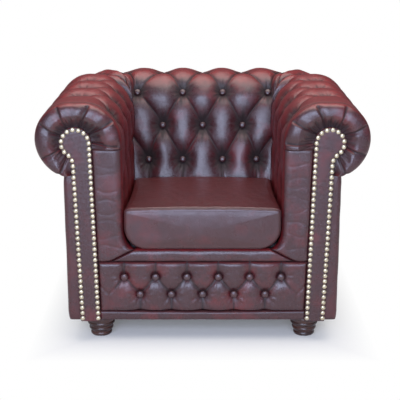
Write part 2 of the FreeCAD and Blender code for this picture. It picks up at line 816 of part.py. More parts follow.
def foam(place, side_list, roll, steps):
    """Foam under a tufted cover: a slab up the inside and a roll over the top rail."""
    face = size("cover_depth") + gap
    back = face + size("slab_thickness")
    base = size("top_rail_height") + gap
    end_u = roll.at(roll.length, face)[0]
    levels = section_levels(roll, False)
    slab_top = roll.start[0] + (base - roll.start[1]) / math.tan(roll.slope)
    slab_top += back / math.sin(roll.slope)
    slab_foot = (roll.start[0] + back / math.sin(roll.slope), roll.start[1])

    def inner_point(share):
        if share <= 0.0:
            return slab_foot
        return (slab_top + (end_u - slab_top) * (share - 0.5) * 2, base)

    facets = Facets()
    grids = []
    for side in side_list:
        outer, inner = [], []
        for along in levels:
            outer.append(reach_out(place, side, roll, steps, 6, lambda far, level: face, along))
        for share in (0.0, 0.5, 1.0):
            u, z = inner_point(share)
            point_at = lambda far: place(side, far, u, z)
            last = to_mitre(point_at, place is arm_place, 1.0, longest(place), gap)
            start = min(steps[-1], last - size("grid_step") * 6)
            stations = steps[:-1] + [start] + span(start, last, 6)[1:]
            inner.append([point_at(station) for station in stations])
        grids.append((outer, inner))
    if len(grids) == 2:
        outer = mirrored(grids[0][0], grids[1][0])
        inner = mirrored(grids[0][1], grids[1][1])
    else:
        outer, inner = grids[0]
    facets.grid(outer)
    facets.grid(inner)
    close_sheet(facets, outer, inner)
    flat_axis = 1 if place is back_place else 0
    end_cap(facets, outer, inner, 0, flat_axis, 2)
    end_cap(facets, outer, inner, -1, flat_axis, 2)
    return facets.solid()


def tufted_covers():
    front = size("board_thickness") + 2 * gap
    for side in (-1, 1):
        name = side_name(side)
        keep(feature(name + "_arm_tufting", arm_facets[side].solid()), name + "_arm_tufting")
        padding = foam(arm_place, [side], arm_roll, [front, arm_steps[-1]])
        keep(feature(name + "_arm_foam", padding), name + "_arm_foam")
    keep(feature("back_tufting", back_facets.solid()), "back_tufting")
    padding = foam(back_place, [1, -1], back_roll, [0.0, back_steps[-1]])
    keep(feature("back_foam", padding), "back_foam")


arm_facets = {side: arm_tufting(side) for side in (-1, 1)}
back_facets = back_tufting()
tufted_covers()


# Arm fronts: the pleated scroll, its border, the nailed facing and the outside panels.

def rim_points(count):
    """Points on the roll's outline from the seam with the border round to its end underneath."""
    start = arm_roll.line - (arm_roll.near[1] - size("seam_height"))
    return [arm_roll.at(along, 0.0) for along in span(start, arm_roll.length, count)]


def core_edge(shift, count):
    """The facing's outline next to the scroll, from the seam over the arch to the neck."""
    marks = keyhole(shift)
    centre = (size("arch_centre_out"), size("arch_centre_height"))
    arch = size("arch_radius") + shift
    lowest = size("seam_height")
    top_in, join, neck = marks["top_in"], marks["join"], marks["neck"]
    begin = math.atan2(top_in[1] - centre[1], top_in[0] - centre[0])
    finish = math.atan2(join[1] - centre[1], join[0] - centre[0])
    share = (lowest - marks["foot_in"][1]) / (top_in[1] - marks["foot_in"][1])
    first = (marks["foot_in"][0] + share * (top_in[0] - marks["foot_in"][0]), lowest)
    points = [first]
    for angle in span(begin, finish, count - 5):
        points.append((centre[0] + arch * math.cos(angle), centre[1] + arch * math.sin(angle)))
    hollow_centre = (size("neck_outer_top") + size("neck_curve"), neck[1])
    hollow_radius = size("neck_curve") - shift
    turn = math.atan2(join[1] - hollow_centre[1], join[0] - hollow_centre[0])
    for share in (0.25, 0.5, 0.75, 1.0):
        angle = turn + (math.pi - turn) * share
        points.append((hollow_centre[0] + hollow_radius * math.cos(angle),
                       hollow_centre[1] + hollow_radius * math.sin(angle)))
    return points


def scroll_fold(angle):
    """How much of a pleat lies at an angle round the scroll, 1 on its line."""
    nearest = min(abs(angle - fold) for fold in (-2, 31, 71, 117, 156, 200, 240))
    return math.exp(-(nearest / 6.5) ** 2)


def scroll_front(side):
    """Padded scroll with its pleats drawn to the facing, and the flat core down the arm."""
    count = 42
    rim, core = rim_points(count), core_edge(size("facing_margin") / 2, count)
    centre = (size("arch_centre_out"), size("arch_centre_height"))
    rings = []
    for share in (0.0, 0.06, 0.16, 0.32, 0.5, 0.7, 0.9, 1.0):
        ring = []
        for outer, inner in zip(rim, core):
            u = outer[0] + (inner[0] - outer[0]) * share
            z = outer[1] + (inner[1] - outer[1]) * share
            angle = math.degrees(math.atan2(z - centre[1], centre[0] - u)) % 360
            angle = angle - 360 if angle > 300 else angle
            crown = size("scroll_bulge") * math.sin(math.pi * min(share / 0.72, 1.0) / 2) ** 0.6
            if share > 0.36:
                fall = smooth((share - 0.36) / 0.54)
                crown -= (size("scroll_bulge") - size("scroll_core")) * fall
            crown -= size("scroll_pleat") * scroll_fold(angle) * smooth(share * 1.6) * (share < 0.9)
            ring.append((side * (inside + u), front_y - crown, z))
        rings.append(ring)
    foot = [(edge_line(size("foot_height"), size("facing_margin") / 2, inner), size("foot_height"))
            for inner in (False, True)]
    neck_front = [(side * (inside + u), front_y - size("scroll_core"), z) for u, z in foot]
    neck_back = [(side * (inside + u), front_y, z) for u, z in foot]
    edge_back = [(point[0], front_y, point[2]) for point in rings[-1]]
    facets = Facets()
    facets.grid(rings)
    facets.polygon(rings[-1] + neck_front, 0, 2)
    facets.polygon(rings[0] + [edge_back[-1]] + neck_back + [edge_back[0]], 0, 2)
    for column in (0, -1):
        facets.polygon([ring[column] for ring in rings] + [edge_back[column]], 0, 1)
    facets.polygon([rings[-1][-1], neck_front[0], neck_back[0], edge_back[-1]], 1, 2)
    facets.polygon([rings[-1][0], neck_front[1], neck_back[1], edge_back[0]], 1, 2)
    facets.polygon(neck_front + neck_back[::-1], 0, 1)
    return facets.solid()


def edge_line(z, shift, inner):
    """Straight inner or outer side of the nailed strip, moved outwards from the nail line."""
    marks = keyhole(shift)
    low, high = (marks["foot_in"], marks["top_in"]) if inner else (marks["foot_out"], marks["neck"])
    return low[0] + (high[0] - low[0]) * (z - low[1]) / (high[1] - low[1])


def beside_facing(z):
    return edge_line(z, size("facing_margin") + gap, True)


def front_border(side):
    """Padded strip from the scroll's seam down the inside of the arm front, under the cushion."""
    name = "%s_front_border" % side_name(side)
    seam, foot = size("seam_height") - gap, size("lip_foot") + gap
    turn_u = size("opening_half") - inside
    top, lip = size("opening_top"), size("lip_height")
    mitre_u = size("apron_half") - size("lip_mitre") - inside
    outline = [((0.0, seam),), ((0.0, top), (turn_u * 0.42, lip + (top - lip) * 0.3)),
               ((turn_u, lip),), ((mitre_u, foot),), ((beside_facing(foot), foot),),
               ((beside_facing(seam), seam),)]
    body = pad(name, "XZ_Plane", placed(side, outline), "scroll_core + border_bulge",
               "-(%s)" % FRONT)
    return keep(body, name)


def seat_lip():
    """Padded strip along the front of the seat, mitred to the borders."""
    low = size("apron_half") - size("lip_mitre") - 2 * gap
    high = size("opening_half") - 2 * gap
    foot = size("lip_foot") + gap
    outline = [((-high, size("lip_height")),), ((high, size("lip_height")),), ((low, foot),),
               ((-low, foot),)]
    keep(pad("front_lip", "XZ_Plane", outline, "lip_depth", "-(%s)" % FRONT), "front_lip")


def bottom_band():
    """Plain band under the apron; its top edge rises a little towards the ends."""
    half, top = beside_facing(size("foot_height")) + inside, size("apron_foot") - gap
    outline = [((-half, top), (0.0, top - size("band_rise"))), ((half, top),), ((half, size("foot_height")),),
               ((-half, size("foot_height")),)]
    keep(pad("bottom_band", "XZ_Plane", outline, "band_depth", "-(%s)" % FRONT), "bottom_band")


def apron_buttons_at():
    pitch = size("apron_pitch")
    high = [(pitch * step, size("apron_row_high")) for step in (-2.5, -1.5, -0.5, 0.5, 1.5, 2.5)]
    return high + [(pitch * step, size("apron_row_low")) for step in (-2, -1, 0, 1, 2)]


apron_spots = apron_buttons_at()


def apron_front(x, z):
    """How far the tufted apron stands out at a point."""
    low, high = size("apron_row_low"), size("apron_row_high")
    column, row = x / size("apron_pitch"), (z - low) / (high - low)
    swell = pillow_height(column, row, 1) if abs(column) < 2.6 else 1.0
    dip = min(math.hypot(x - spot[0], z - spot[1]) for spot in apron_spots)
    to_edge = min(z - size("apron_foot"), size("lip_foot") - size("apron_seam") - z,
                  size("apron_half") - abs(x))
    edge = min(max(to_edge / size("apron_edge"), 0.0), 1.0)
    depth = size("apron_depth") - size("apron_crease") * (1 - swell)
    pull = size("apron_tuft") - size("apron_crease")
    depth -= pull * math.exp(-(dip / size("apron_tuft_radius")) ** 2)
    return depth - size("apron_edge_depth") * (1 - math.sqrt(edge * (2 - edge)))


def front_apron():
    low, high = size("apron_foot"), size("lip_foot") - size("apron_seam")
    rows = []
    for z in span(low, high, 13):
        half = beside_facing(z) + inside
        rows.append([(x, front_y - apron_front(x, z), z) for x in span(-half, half, 36)])
    back = [[(x, front_y, row[0][2]) for x in span(row[0][0], row[-1][0], 6)]
            for row in (rows[0], rows[-1])]
    facets = Facets()
    facets.grid(rows)
    close_sheet(facets, rows, back)
    for column in (0, -1):
        facets.stitch([row[column] for row in rows], [back[0][column], back[1][column]])
    facets.grid(back)
    return facets


def facing(side):
    """Keyhole facing with its nails' margin."""
    name = "%s_facing" % side_name(side)
    marks = keyhole(size("facing_margin"))
    foot = size("foot_height") + gap
    outline = [((marks["foot_in"][0], foot),), (marks["top_in"], marks["crown"]),
               (marks["join"], marks["bend"]), (marks["neck"],), ((marks["foot_out"][0], foot),)]
    body = pad(name, "XZ_Plane", placed(side, outline), "facing_thickness",
               "-(%s) + scroll_core + fit_gap" % FRONT)
    return keep(body, name)


def outside_panels():
    """Outside leather: arm panels that turn the back corners, with a padded front return."""
    outer = size("arm_width")
    inner = outer - size("panel_thickness")
    top = arm_roll.at(arm_roll.length, 0.0)[1] - gap
    for side in (-1, 1):
        name = "%s_outside_cover" % side_name(side)
        half = math.sqrt(0.5)
        x = side * inside
        turn_out = (x + side * outer * half, corner_y + outer * half)
        turn_in = (x + side * inner * half, corner_y + inner * half)
        plan = [((x + side * outer, front_y),), ((x + side * outer, corner_y), turn_out),
                ((x, corner_y + outer),), ((x, corner_y + inner), turn_in),
                ((x + side * inner, corner_y),), ((x + side * inner, front_y),)]
        panel = pad(name + "_panel", "XY_Plane", plan, "%s - foot_height" % top, "foot_height")
        core = size("facing_margin") / 2 + gap
        strip = [((edge_line(size("foot_height"), core, False), size("foot_height")),),
                 ((edge_line(top, core, False), top),), ((outer, top),),
                 ((outer, size("foot_height")),)]
        front = pad(name + "_return", "XZ_Plane", placed(side, strip), "scroll_core",
                    "-(%s)" % FRONT)
        whole = document.addObject("Part::Fuse", name)
        whole.Base, whole.Tool = panel, front
        keep(whole, name)
    face = "(%s + arm_width)" % CORNER
    keep(box("outside_back_cover", ("-%s + fit_gap" % INSIDE, "%s - fit_gap" % INSIDE),
             (face + " - panel_thickness", face), ("foot_height", str(top))), "outside_back_cover")


def arm_fronts():
    for side in (-1, 1):
        name = side_name(side)
        keep(feature(name + "_scroll_front", scroll_front(side)), name + "_scroll_front")
        front_border(side)
        facing(side)
    seat_lip()
    bottom_band()
    keep(feature("front_apron", apron_facets.solid()), "front_apron")
    outside_panels()


apron_facets = front_apron()
arm_fronts()


# Buttons and nails.

def dome(facets_shape, centre, axis, radius, height, sides=6):
    """A low dome: flat underside, a steep ring and a shallow crown."""
    facets = Facets()
    axis = Vector(*axis)
    axis.normalize()
    across = axis.cross(Vector(0.3, 0.9, 0.2))
    across.normalize()
    upright = axis.cross(across)
    rings = []
    for reach, rise in facets_shape:
        ring = []
        for step in range(sides):
            angle = 2 * math.pi * step / sides
            spot = (Vector(*centre) + across * (radius * reach * math.cos(angle))
                    + upright * (radius * reach * math.sin(angle)) + axis * (height * rise))
            ring.append(tuple(spot))
        rings.append(ring)
    facets.grid([ring + ring[:1] for ring in rings])
    for ring in (rings[0], rings[-1]):
        for first, second in zip(ring[1:], ring[2:]):
            facets.triangle(ring[0], first, second)
    return facets.solid()


BUTTON_SHAPE = ((0.72, 0.0), (1.0, 0.35), (0.6, 1.0))
NAIL_SHAPE = ((1.0, 0.0), (0.82, 0.62), (0.0, 1.0))


def button_underside(reach):
    """Height of a button's underside at a distance from its middle."""
    radius, height = size("button_radius"), size("button_height")
    flat, edge, rise = BUTTON_SHAPE[0][0], BUTTON_SHAPE[1][0], BUTTON_SHAPE[1][1]
    return height * rise * max(0.0, (reach / radius - flat) / (edge - flat))


def seated_button(facets, centre, axis):
    """A covered button in its hollow, lifted until it clears the facets under it."""
    centre, axis = Vector(*centre), Vector(*axis)
    axis.normalize()
    radius = size("button_radius")
    points = [Vector(*key) for key in facets.corners]
    lift = -size("button_height")
    shares = [(i / 14, j / 14) for i in range(15) for j in range(15 - i)]
    for triangle in facets.triangles:
        a, b, c = (points[index] for index in triangle)
        if ((a + b + c) * (1 / 3) - centre).Length > 3.5 * radius:
            continue
        for first, second in shares:
            spot = a * first + b * second + c * (1 - first - second) - centre
            rise = spot.dot(axis)
            reach = (spot - axis * rise).Length
            if reach < radius * 1.03 and abs(rise) < 2 * radius:
                lift = max(lift, rise - button_underside(reach) + gap)
    return dome(BUTTON_SHAPE, tuple(centre + axis * lift), tuple(axis), radius, size("button_height"))


def tuft_button(facets, place, side, roll, depth_of, spot):
    across, along = spot
    centre = place(side, across, *roll.at(along, depth_of(across, along)))
    surface = place(side, across, *roll.at(along, 0.0))
    return seated_button(facets, centre, [high - low for high, low in zip(surface, centre)])


def buttons():
    for side in (-1, 1):
        name = side_name(side) + "_arm_buttons"
        clear = size("arm_length") - 2 * size("button_radius")
        spots = [spot for spot in arm_spots if spot[0] < clear or spot[1] == size("top_row_distance")]
        solids = [tuft_button(arm_facets[side], arm_place, side, arm_roll, arm_depth, spot)
                  for spot in spots]
        keep(feature(name, Part.Compound(solids)), name)
    solids = []
    for spot in back_spots:
        for side in ((-1, 1) if spot[0] else (1,)):
            solids.append(tuft_button(back_facets, back_place, side, back_roll, back_depth, spot))
    keep(feature("back_buttons", Part.Compound(solids)), "back_buttons")
    solids = [seated_button(apron_facets, (x, front_y - apron_front(x, z), z), (0, -1, 0))
              for x, z in apron_spots]
    keep(feature("apron_buttons", Part.Compound(solids)), "apron_buttons")


def nail_line():
    """Even steps up the inner line, round the scroll and down the outer line."""
    marks = keyhole(0.0)
    centre = (size("arch_centre_out"), size("arch_centre_height"))
    begin = math.atan2(marks["top_in"][1] - centre[1], marks["top_in"][0] - centre[0])
    finish = math.atan2(marks["join"][1] - centre[1], marks["join"][0] - centre[0])
    path = [marks["foot_in"]]
    for angle in span(begin, finish, 60):
        path.append((centre[0] + size("arch_radius") * math.cos(angle),
                     centre[1] + size("arch_radius") * math.sin(angle)))
    hollow_centre = (size("neck_outer_top") + size("neck_curve"), marks["neck"][1])
    turn = math.atan2(marks["join"][1] - hollow_centre[1], marks["join"][0] - hollow_centre[0])
    for angle in span(turn, math.pi, 12)[1:]:
        path.append((hollow_centre[0] + size("neck_curve") * math.cos(angle),
                     hollow_centre[1] + size("neck_curve") * math.sin(angle)))
    path.append(marks["foot_out"])
    run = [0.0]
    for start, end in zip(path, path[1:]):
        run.append(run[-1] + math.dist(start, end))
    count = round(run[-1] / size("nail_pitch"))
    spots, leg = [], 0
    for number in range(count + 1):
        distance = run[-1] * number / count
        while leg < len(path) - 2 and run[leg + 1] < distance:
            leg += 1
        share = (distance - run[leg]) / (run[leg + 1] - run[leg])
        start, end = path[leg], path[leg + 1]
        spots.append((start[0] + share * (end[0] - start[0]), start[1] + share * (end[1] - start[1])))
    return spots


def nails():
    face = front_y - size("scroll_core") - gap - size("facing_thickness")
    for side in (-1, 1):
        name = side_name(side) + "_nails"
        solids = [dome(NAIL_SHAPE, (side * (inside + u), face, z), (0, -1, 0), size("nail_radius"),
                       size("nail_height")) for u, z in nail_line()]
        keep(feature(name, Part.Compound(solids)), name)


buttons()
nails()


# Inside the seat and back: springs, webbing and deck.

def zigzag_spring(x, y_front, y_back, z):
    """One wire bent from side to side in the flat, with cut-off bends and a square section."""
    swing, half = size("spring_swing"), size("spring_wire") / 2
    count = int((y_back - y_front) / size("spring_pitch"))
    step = (y_back - y_front) / count
    bend = step / 3
    path = [(x - swing / 2, y_front)]
    for number in range(count):
        edge = swing if number % 2 == 0 else -swing
        y = y_front + number * step
        path += [(x + edge - math.copysign(bend, edge), y), (x + edge, y + bend),
                 (x + edge, y + step - bend), (x + edge - math.copysign(bend, edge), y + step)]
    path.append((x, y_back))
    left, right = [], []
    for number, (here_x, here_y) in enumerate(path):
        before, after = path[max(number - 1, 0)], path[min(number + 1, len(path) - 1)]
        along = [math.atan2(end[1] - start[1], end[0] - start[0])
                 for start, end in ((before, (here_x, here_y)), ((here_x, here_y), after))
                 if start != end]
        turn = math.remainder(along[-1] - along[0], 2 * math.pi) / 2
        heading = along[0] + turn
        reach = half / math.cos(turn)
        left.append((here_x - reach * math.sin(heading), here_y + reach * math.cos(heading)))
        right.append((here_x + reach * math.sin(heading), here_y - reach * math.cos(heading)))
    corners = [Vector(px, py, z - half) for px, py in left + right[::-1]]
    face = Part.Face(Part.makePolygon(corners + corners[:1]))
    return face.extrude(Vector(0, 0, 2 * half))


def suspension():
    rail_top = frame_foot + size("front_rail_height")
    z = rail_top + size("spring_wire") / 2
    y_front = front_y + gap + size("rail_thickness") / 2
    y_back = corner_y + size("rail_thickness") / 2
    middle = (size("spring_count") - 1) / 2
    places = [(number - middle) * size("spring_spacing") for number in range(int(size("spring_count")))]
    springs = [zigzag_spring(x, y_front, y_back, z) for x in places]
    keep(feature("seat_springs", Part.Compound(springs)), "seat_springs")


def webbing():
    """Straps across the back, behind its leaning foam, from one rear post to the other."""
    foam_back = size("cover_depth") + gap + size("slab_thickness")
    straps = []
    for number in range(3):
        foot = size("webbing_first") + number * size("webbing_pitch")
        rise = foot + size("webbing_width") - size("tuck_height")
        y = (corner_y - size("back_lean") + rise / math.tan(back_roll.slope)
             + foam_back / math.sin(back_roll.slope) + gap)
        strap = document.addObject("Part::Box", "strap")
        bind(strap, Length="2 * " + POST_IN, Width="webbing_thickness", Height="webbing_width",
             Placement__Base__x="-" + POST_IN, Placement__Base__y=str(y), Placement__Base__z=str(foot))
        straps.append(strap)
    keep(group("back_webbing", straps), "back_webbing")


def deck():
    """Felt over the springs and the deck cloth that the cushion lies on."""
    felt_foot = "(%s + front_rail_height + spring_wire + fit_gap)" % FLOOR_FRAME
    felt_top = "(%s + felt_thickness)" % felt_foot
    half = "(%s - deck_margin)" % INSIDE
    back = "(%s - back_lean - deck_inset)" % CORNER
    keep(box("deck_felt", ("-" + half, half), (FRONT + " + fit_gap", back), (felt_foot, felt_top)),
         "deck_felt")
    keep(box("deck_cover", ("-" + half, half), (FRONT + " + fit_gap", back),
             (felt_top, felt_top + " + deck_thickness")), "deck_cover")


def dust_cover():
    """Cloth under the frame, its back corners cut to stay inside the rounded covers."""
    outer = size("arm_width") - size("panel_thickness")
    back = corner_y + outer
    half = math.sqrt(0.5)

    def turn(side):
        return (side * (inside + outer * half), corner_y + outer * half)

    reach = inside + outer
    front = front_y + gap
    outline = [((-reach, front),), ((reach, front),), ((reach, corner_y),), (turn(1),),
               ((inside, back),), ((-inside, back),), (turn(-1),), ((-reach, corner_y),)]
    sheet_piece = pad("dust_sheet", "XY_Plane", outline, "dust_thickness", "foot_height")
    holes = []
    for x, y in foot_places():
        hole = document.addObject("Part::Cylinder", "bolt_hole")
        bind(hole, Radius="bolt_radius", Height="3 * dust_thickness", Placement__Base__x=x,
             Placement__Base__y=y, Placement__Base__z="foot_height - dust_thickness")
        holes.append(hole)
    cut = document.addObject("Part::Cut", "dust_cover")
    cut.Base, cut.Tool = sheet_piece, group("bolt_holes", holes)
    keep(cut, "dust_cover")


# Feet, their bolts, inserts and glides.

def foot_places():
    return [("-foot_out", FOOT_FRONT), ("foot_out", FOOT_FRONT),
            ("-foot_out", FOOT_BACK), ("foot_out", FOOT_BACK)]


def foot(name, x, y):
    """A turned bun foot: ribbed from its widest ring down to its base, bored for its bolt."""
    count = int(size("foot_rings"))
    outline = [("foot_radius - foot_shoulder", "foot_height"),
               ("foot_radius", "foot_height - foot_shoulder")]
    for ring in range(1, count + 1):
        share = "%d / %d" % (ring, count)
        radius = "foot_radius - (foot_radius - foot_base_radius) * " + share
        level = ("foot_height - foot_shoulder - (foot_height - glide_height - 2 * foot_shoulder) * "
                 + share)
        outline += [(radius + " - foot_groove", level), (radius, level + " - foot_bead")]
    outline.append(("foot_base_radius", "glide_height"))
    rings = []
    for radius, level in outline:
        ring = document.addObject("Part::RegularPolygon", name + "_ring")
        ring.Polygon = 24
        bind(ring, Circumradius=radius, Placement__Base__x=x, Placement__Base__y=y,
             Placement__Base__z=level)
        rings.append(ring)
    turned = document.addObject("Part::Loft", name + "_turned")
    turned.Sections, turned.Solid, turned.Ruled = rings, True, True
    hole = document.addObject("Part::Cylinder", name + "_bore")
    bind(hole, Radius="bolt_radius", Height="bolt_depth", Placement__Base__x=x,
         Placement__Base__y=y, Placement__Base__z="foot_height - bolt_depth")
    cut = document.addObject("Part::Cut", name)
    cut.Base, cut.Tool = turned, hole
    return cut


def feet():
    turned, bolts, glides = [], [], []
    for x, y in foot_places():
        turned.append(foot("turned_foot", x, y))
        bolt = document.addObject("Part::Cylinder", "foot_bolt")
        bind(bolt, Radius="bolt_radius - fit_gap", Height="2 * bolt_depth - fit_gap",
             Placement__Base__x=x, Placement__Base__y=y,
             Placement__Base__z="foot_height - bolt_depth + fit_gap")
        bolts.append(bolt)
        glide = document.addObject("Part::Cylinder", "glide")
        bind(glide, Radius="glide_radius", Height="glide_height", Placement__Base__x=x,
             Placement__Base__y=y)
        glides.append(glide)
    keep(group("front_feet", turned[:2]), "front_feet")
    keep(group("back_feet", turned[2:]), "back_feet")
    keep(group("foot_bolts", bolts), "foot_bolts")
    keep(group("foot_glides", glides), "foot_glides")


suspension()
webbing()
deck()
dust_cover()
feet()


# The loose seat cushion.

def cushion_section(share, shrink):
    """Half outline of the cushion seen from the front, from the middle of its underside round to
    the middle of its crown. The share is 0 at the front edge and 1 at the back edge."""
    half = size("cushion_width") / 2 - shrink
    thick = size("cushion_thickness") - size("cushion_fall") * share
    corner = size("cushion_corner")
    shoulder = size("cushion_shoulder")
    half -= size("cushion_waist") * math.sin(math.pi * share)
    low, high = shrink, thick - size("cushion_crown") - shrink
    swell = size("cushion_crown") * math.sin(math.pi * min(max(share, 0.06), 0.94))
    points = [(0.0, low), (half * 0.45, low), (half - corner, low)]
    for angle in span(-90, 0, 4)[1:]:
        turn = math.radians(angle)
        points.append((half - corner + corner * math.cos(turn), low + corner + corner * math.sin(turn)))
    for angle in span(0, 90, 3):
        turn = math.radians(angle)
        points.append((half - shoulder + shoulder * math.cos(turn),
                       high - shoulder + shoulder * math.sin(turn)))
    for reach in (0.6, 0.3, 0.0):
        points.append((half * reach, high + swell * (1 - reach ** 2)))
    return points


def cushion_solid(shrink):
    depth = size("cushion_depth")
    deck_top = (frame_foot + size("front_rail_height") + size("spring_wire")
                + size("felt_thickness") + size("deck_thickness") + gap + size("lift_gap"))
    front = front_y - size("scroll_bulge") + size("cushion_proud")
    rows = []
    stations = [0.0, 0.02, 0.06, 0.14, 0.28, 0.45, 0.62, 0.78, 0.9, 0.97, 1.0]
    for share in stations:
        edge = min(share, 1 - share)
        pull = 1 - smooth(edge / 0.06)
        row = []
        for x, z in cushion_section(share, shrink):
            middle_z = size("cushion_thickness") * 0.5
            z += (middle_z - z) * 0.18 * pull
            x = x * (1 - 0.012 * pull)
            y = front + shrink + share * (depth - 2 * shrink)
            row.append((x, y, deck_top + z))
        rows.append([(-x, y, z) for x, y, z in row[::-1]][:-1] + row)
    facets = Facets()
    facets.grid([row + row[:1] for row in rows])
    for row in (rows[0], rows[-1]):
        facets.polygon(row[:-1], 0, 2)
    return facets.solid()


def cushion():
    outer, filling = cushion_solid(0.0), cushion_solid(size("cushion_cover"))
    core = cushion_solid(size("cushion_cover") + gap)
    keep(feature("cushion_cover", outer.cut(filling)), "cushion_cover")
    keep(feature("cushion_foam", core), "cushion_foam")


cushion()


def check_and_write():
    document.recompute()
    for item in document.Objects:
        if "Invalid" in item.State or "Error" in item.State:
            raise RuntimeError("failed: %s" % item.Name)
    for piece in parts:
        if piece.Shape.isNull() or not piece.Shape.isValid():
            raise RuntimeError("bad shape: %s" % piece.Label)
    os.makedirs("parts", exist_ok=True)
    for piece in parts:
        piece.Shape.exportStep(os.path.join("parts", piece.Label + ".step"))
        print("%-24s %2d solids %10.1f cm3" % (piece.Label, len(piece.Shape.Solids),
                                              piece.Shape.Volume / 1000))


check_and_write()
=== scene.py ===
import json
import math

import bmesh
import bpy
import numpy as np
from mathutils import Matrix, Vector

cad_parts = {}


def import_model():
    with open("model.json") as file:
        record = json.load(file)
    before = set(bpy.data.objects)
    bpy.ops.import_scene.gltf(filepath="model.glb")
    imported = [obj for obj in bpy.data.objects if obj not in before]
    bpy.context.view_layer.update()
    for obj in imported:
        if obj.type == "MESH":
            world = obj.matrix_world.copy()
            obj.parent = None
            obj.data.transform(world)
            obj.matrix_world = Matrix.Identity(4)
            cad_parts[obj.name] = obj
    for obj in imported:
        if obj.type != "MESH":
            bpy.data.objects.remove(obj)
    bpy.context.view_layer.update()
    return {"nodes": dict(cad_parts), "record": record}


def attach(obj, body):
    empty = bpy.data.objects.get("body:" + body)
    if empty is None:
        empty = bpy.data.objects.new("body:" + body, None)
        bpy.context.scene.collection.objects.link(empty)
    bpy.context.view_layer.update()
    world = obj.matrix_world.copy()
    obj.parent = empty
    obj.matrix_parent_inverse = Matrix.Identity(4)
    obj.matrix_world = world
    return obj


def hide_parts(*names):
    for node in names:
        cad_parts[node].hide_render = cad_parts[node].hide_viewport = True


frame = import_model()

# Chesterfield armchair in oxblood leather. Metres, +Z up, the front faces -Y.

# Sizes that the covers share with the frame under them.
SEAT_WIDTH = 0.504
INSIDE = SEAT_WIDTH / 2
ARM_WIDTH = 0.184
ARM_LENGTH = 0.578
ROLL_INNER = 0.125
ROLL_FLAT = 0.032
ROLL_OUTER = 0.115
ROLL_TOP = 0.785
ROLL_UNDER = math.radians(14)
BACK_LEAN = 0.083
TUCK_HEIGHT = 0.300
SCROLL_BULGE = 0.050
SCROLL_CORE = 0.028
FRONT_Y = (SCROLL_BULGE - ARM_LENGTH - ROLL_INNER - ROLL_FLAT - ROLL_OUTER) / 2
CORNER_Y = FRONT_Y + ARM_LENGTH
TURN_RADIUS = ROLL_INNER + ROLL_FLAT
ROWS = (0.588, 0.437, 0.307, 0.180)
ARM_PITCH = 0.160
ARM_FIRST = 0.100
BACK_PITCH = 0.148
TUFT_DEPTH = 0.030
CREASE_DEPTH = 0.012
FIT_GAP = 0.0003
GRID = 0.0035
BODY_FOOT = 0.071
COVER_DEPTH = 0.045
COVER_ROWS = 260
ARM_COLUMNS = 210
BACK_COLUMNS = 130
SIDES = {-1: "left", 1: "right"}


# Mesh helpers.

class Mesh:
    """Points and faces gathered from grids, strips and caps, with a fold value at each point: the share of
    painted shade there.
    """

    def __init__(self):
        self.points = []
        self.faces = []
        self.folds = []
        self.count = 0

    def add_points(self, points, folds=None):
        points = np.asarray(points, dtype=float).reshape(-1, 3)
        start = self.count
        self.points.append(points)
        self.folds.append(np.zeros(len(points)) if folds is None else np.ravel(folds))
        self.count += len(points)
        return start

    def grid(self, points, folds=None, around=False):
        """A sheet of quads over rows and columns of points; returns each point's index."""
        rows, columns = points.shape[:2]
        start = self.add_points(points, folds)
        index = start + np.arange(rows * columns).reshape(rows, columns)
        right = np.roll(index, -1, axis=1) if around else index[:, 1:]
        left = index if around else index[:, :-1]
        quads = np.stack([left[:-1], right[:-1], right[1:], left[1:]], axis=-1)
        self.faces.extend(quads.reshape(-1, 4).tolist())
        return index

    def strip(self, one, other):
        """Triangles between two edges of known points that start and end side by side."""
        points = np.concatenate(self.points)
        shares = [length_shares(points[list(edge)]) for edge in (one, other)]
        i = j = 0
        while i < len(one) - 1 or j < len(other) - 1:
            if shares[0][i + 1] <= shares[1][j + 1]:
                self.faces.append([one[i], one[i + 1], other[j]])
                i += 1
            else:
                self.faces.append([one[i], other[j + 1], other[j]])
                j += 1

    def face(self, indices):
        self.faces.append([int(index) for index in indices])

    def build(self, name, stands_for, slot, look, fill=None, body="chair"):
        """Makes the piece, hangs it on its body and hides the CAD nodes it stands for; fill is not used."""
        mesh = bpy.data.meshes.new(name)
        mesh.from_pydata(np.concatenate(self.points).tolist(), [], self.faces)
        layer = mesh.attributes.new("fold", "FLOAT", "POINT")
        layer.data.foreach_set("value", np.concatenate(self.folds).astype(np.float32))
        mesh.update()
        clean(mesh)
        mesh.shade_smooth()
        piece = bpy.data.objects.new(name, mesh)
        bpy.context.scene.collection.objects.link(piece)
        piece.data.materials.append(look)
        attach(piece, body)
        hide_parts(*stands_for)
        return piece


def clean(mesh):
    """Joins doubled points and turns every face outwards."""
    work = bmesh.new()
    work.from_mesh(mesh)
    bmesh.ops.remove_doubles(work, verts=work.verts, dist=0.00002)
    bmesh.ops.dissolve_degenerate(work, edges=work.edges, dist=0.00001)
    bmesh.ops.recalc_face_normals(work, faces=work.faces)
    work.to_mesh(mesh)
    work.free()


def distances(line):
    """How far along a line each of its points lies."""
    return np.concatenate([[0.0], np.cumsum(np.linalg.norm(np.diff(line, axis=0), axis=1))])


def length_shares(points):
    run = distances(points)
    return (run / run[-1]).tolist() + [9.0]


def smooth(value):
    value = np.clip(value, 0.0, 1.0)
    return value * value * (3 - 2 * value)


def waves(seed, scale, count=7):
    """A soft random field in the plane, from a few sine waves."""
    spin = np.random.default_rng(seed)
    angles = spin.uniform(0, 2 * math.pi, count)
    speeds = spin.uniform(0.6, 1.5, count) * 2 * math.pi / scale
    phases = spin.uniform(0, 2 * math.pi, count)

    def field(a, b):
        total = 0
        for angle, speed, phase in zip(angles, speeds, phases):
            total = total + np.sin((a * math.cos(angle) + b * math.sin(angle)) * speed + phase)
        return total / count
    return field


# The section of the arms and back, as in the solids.

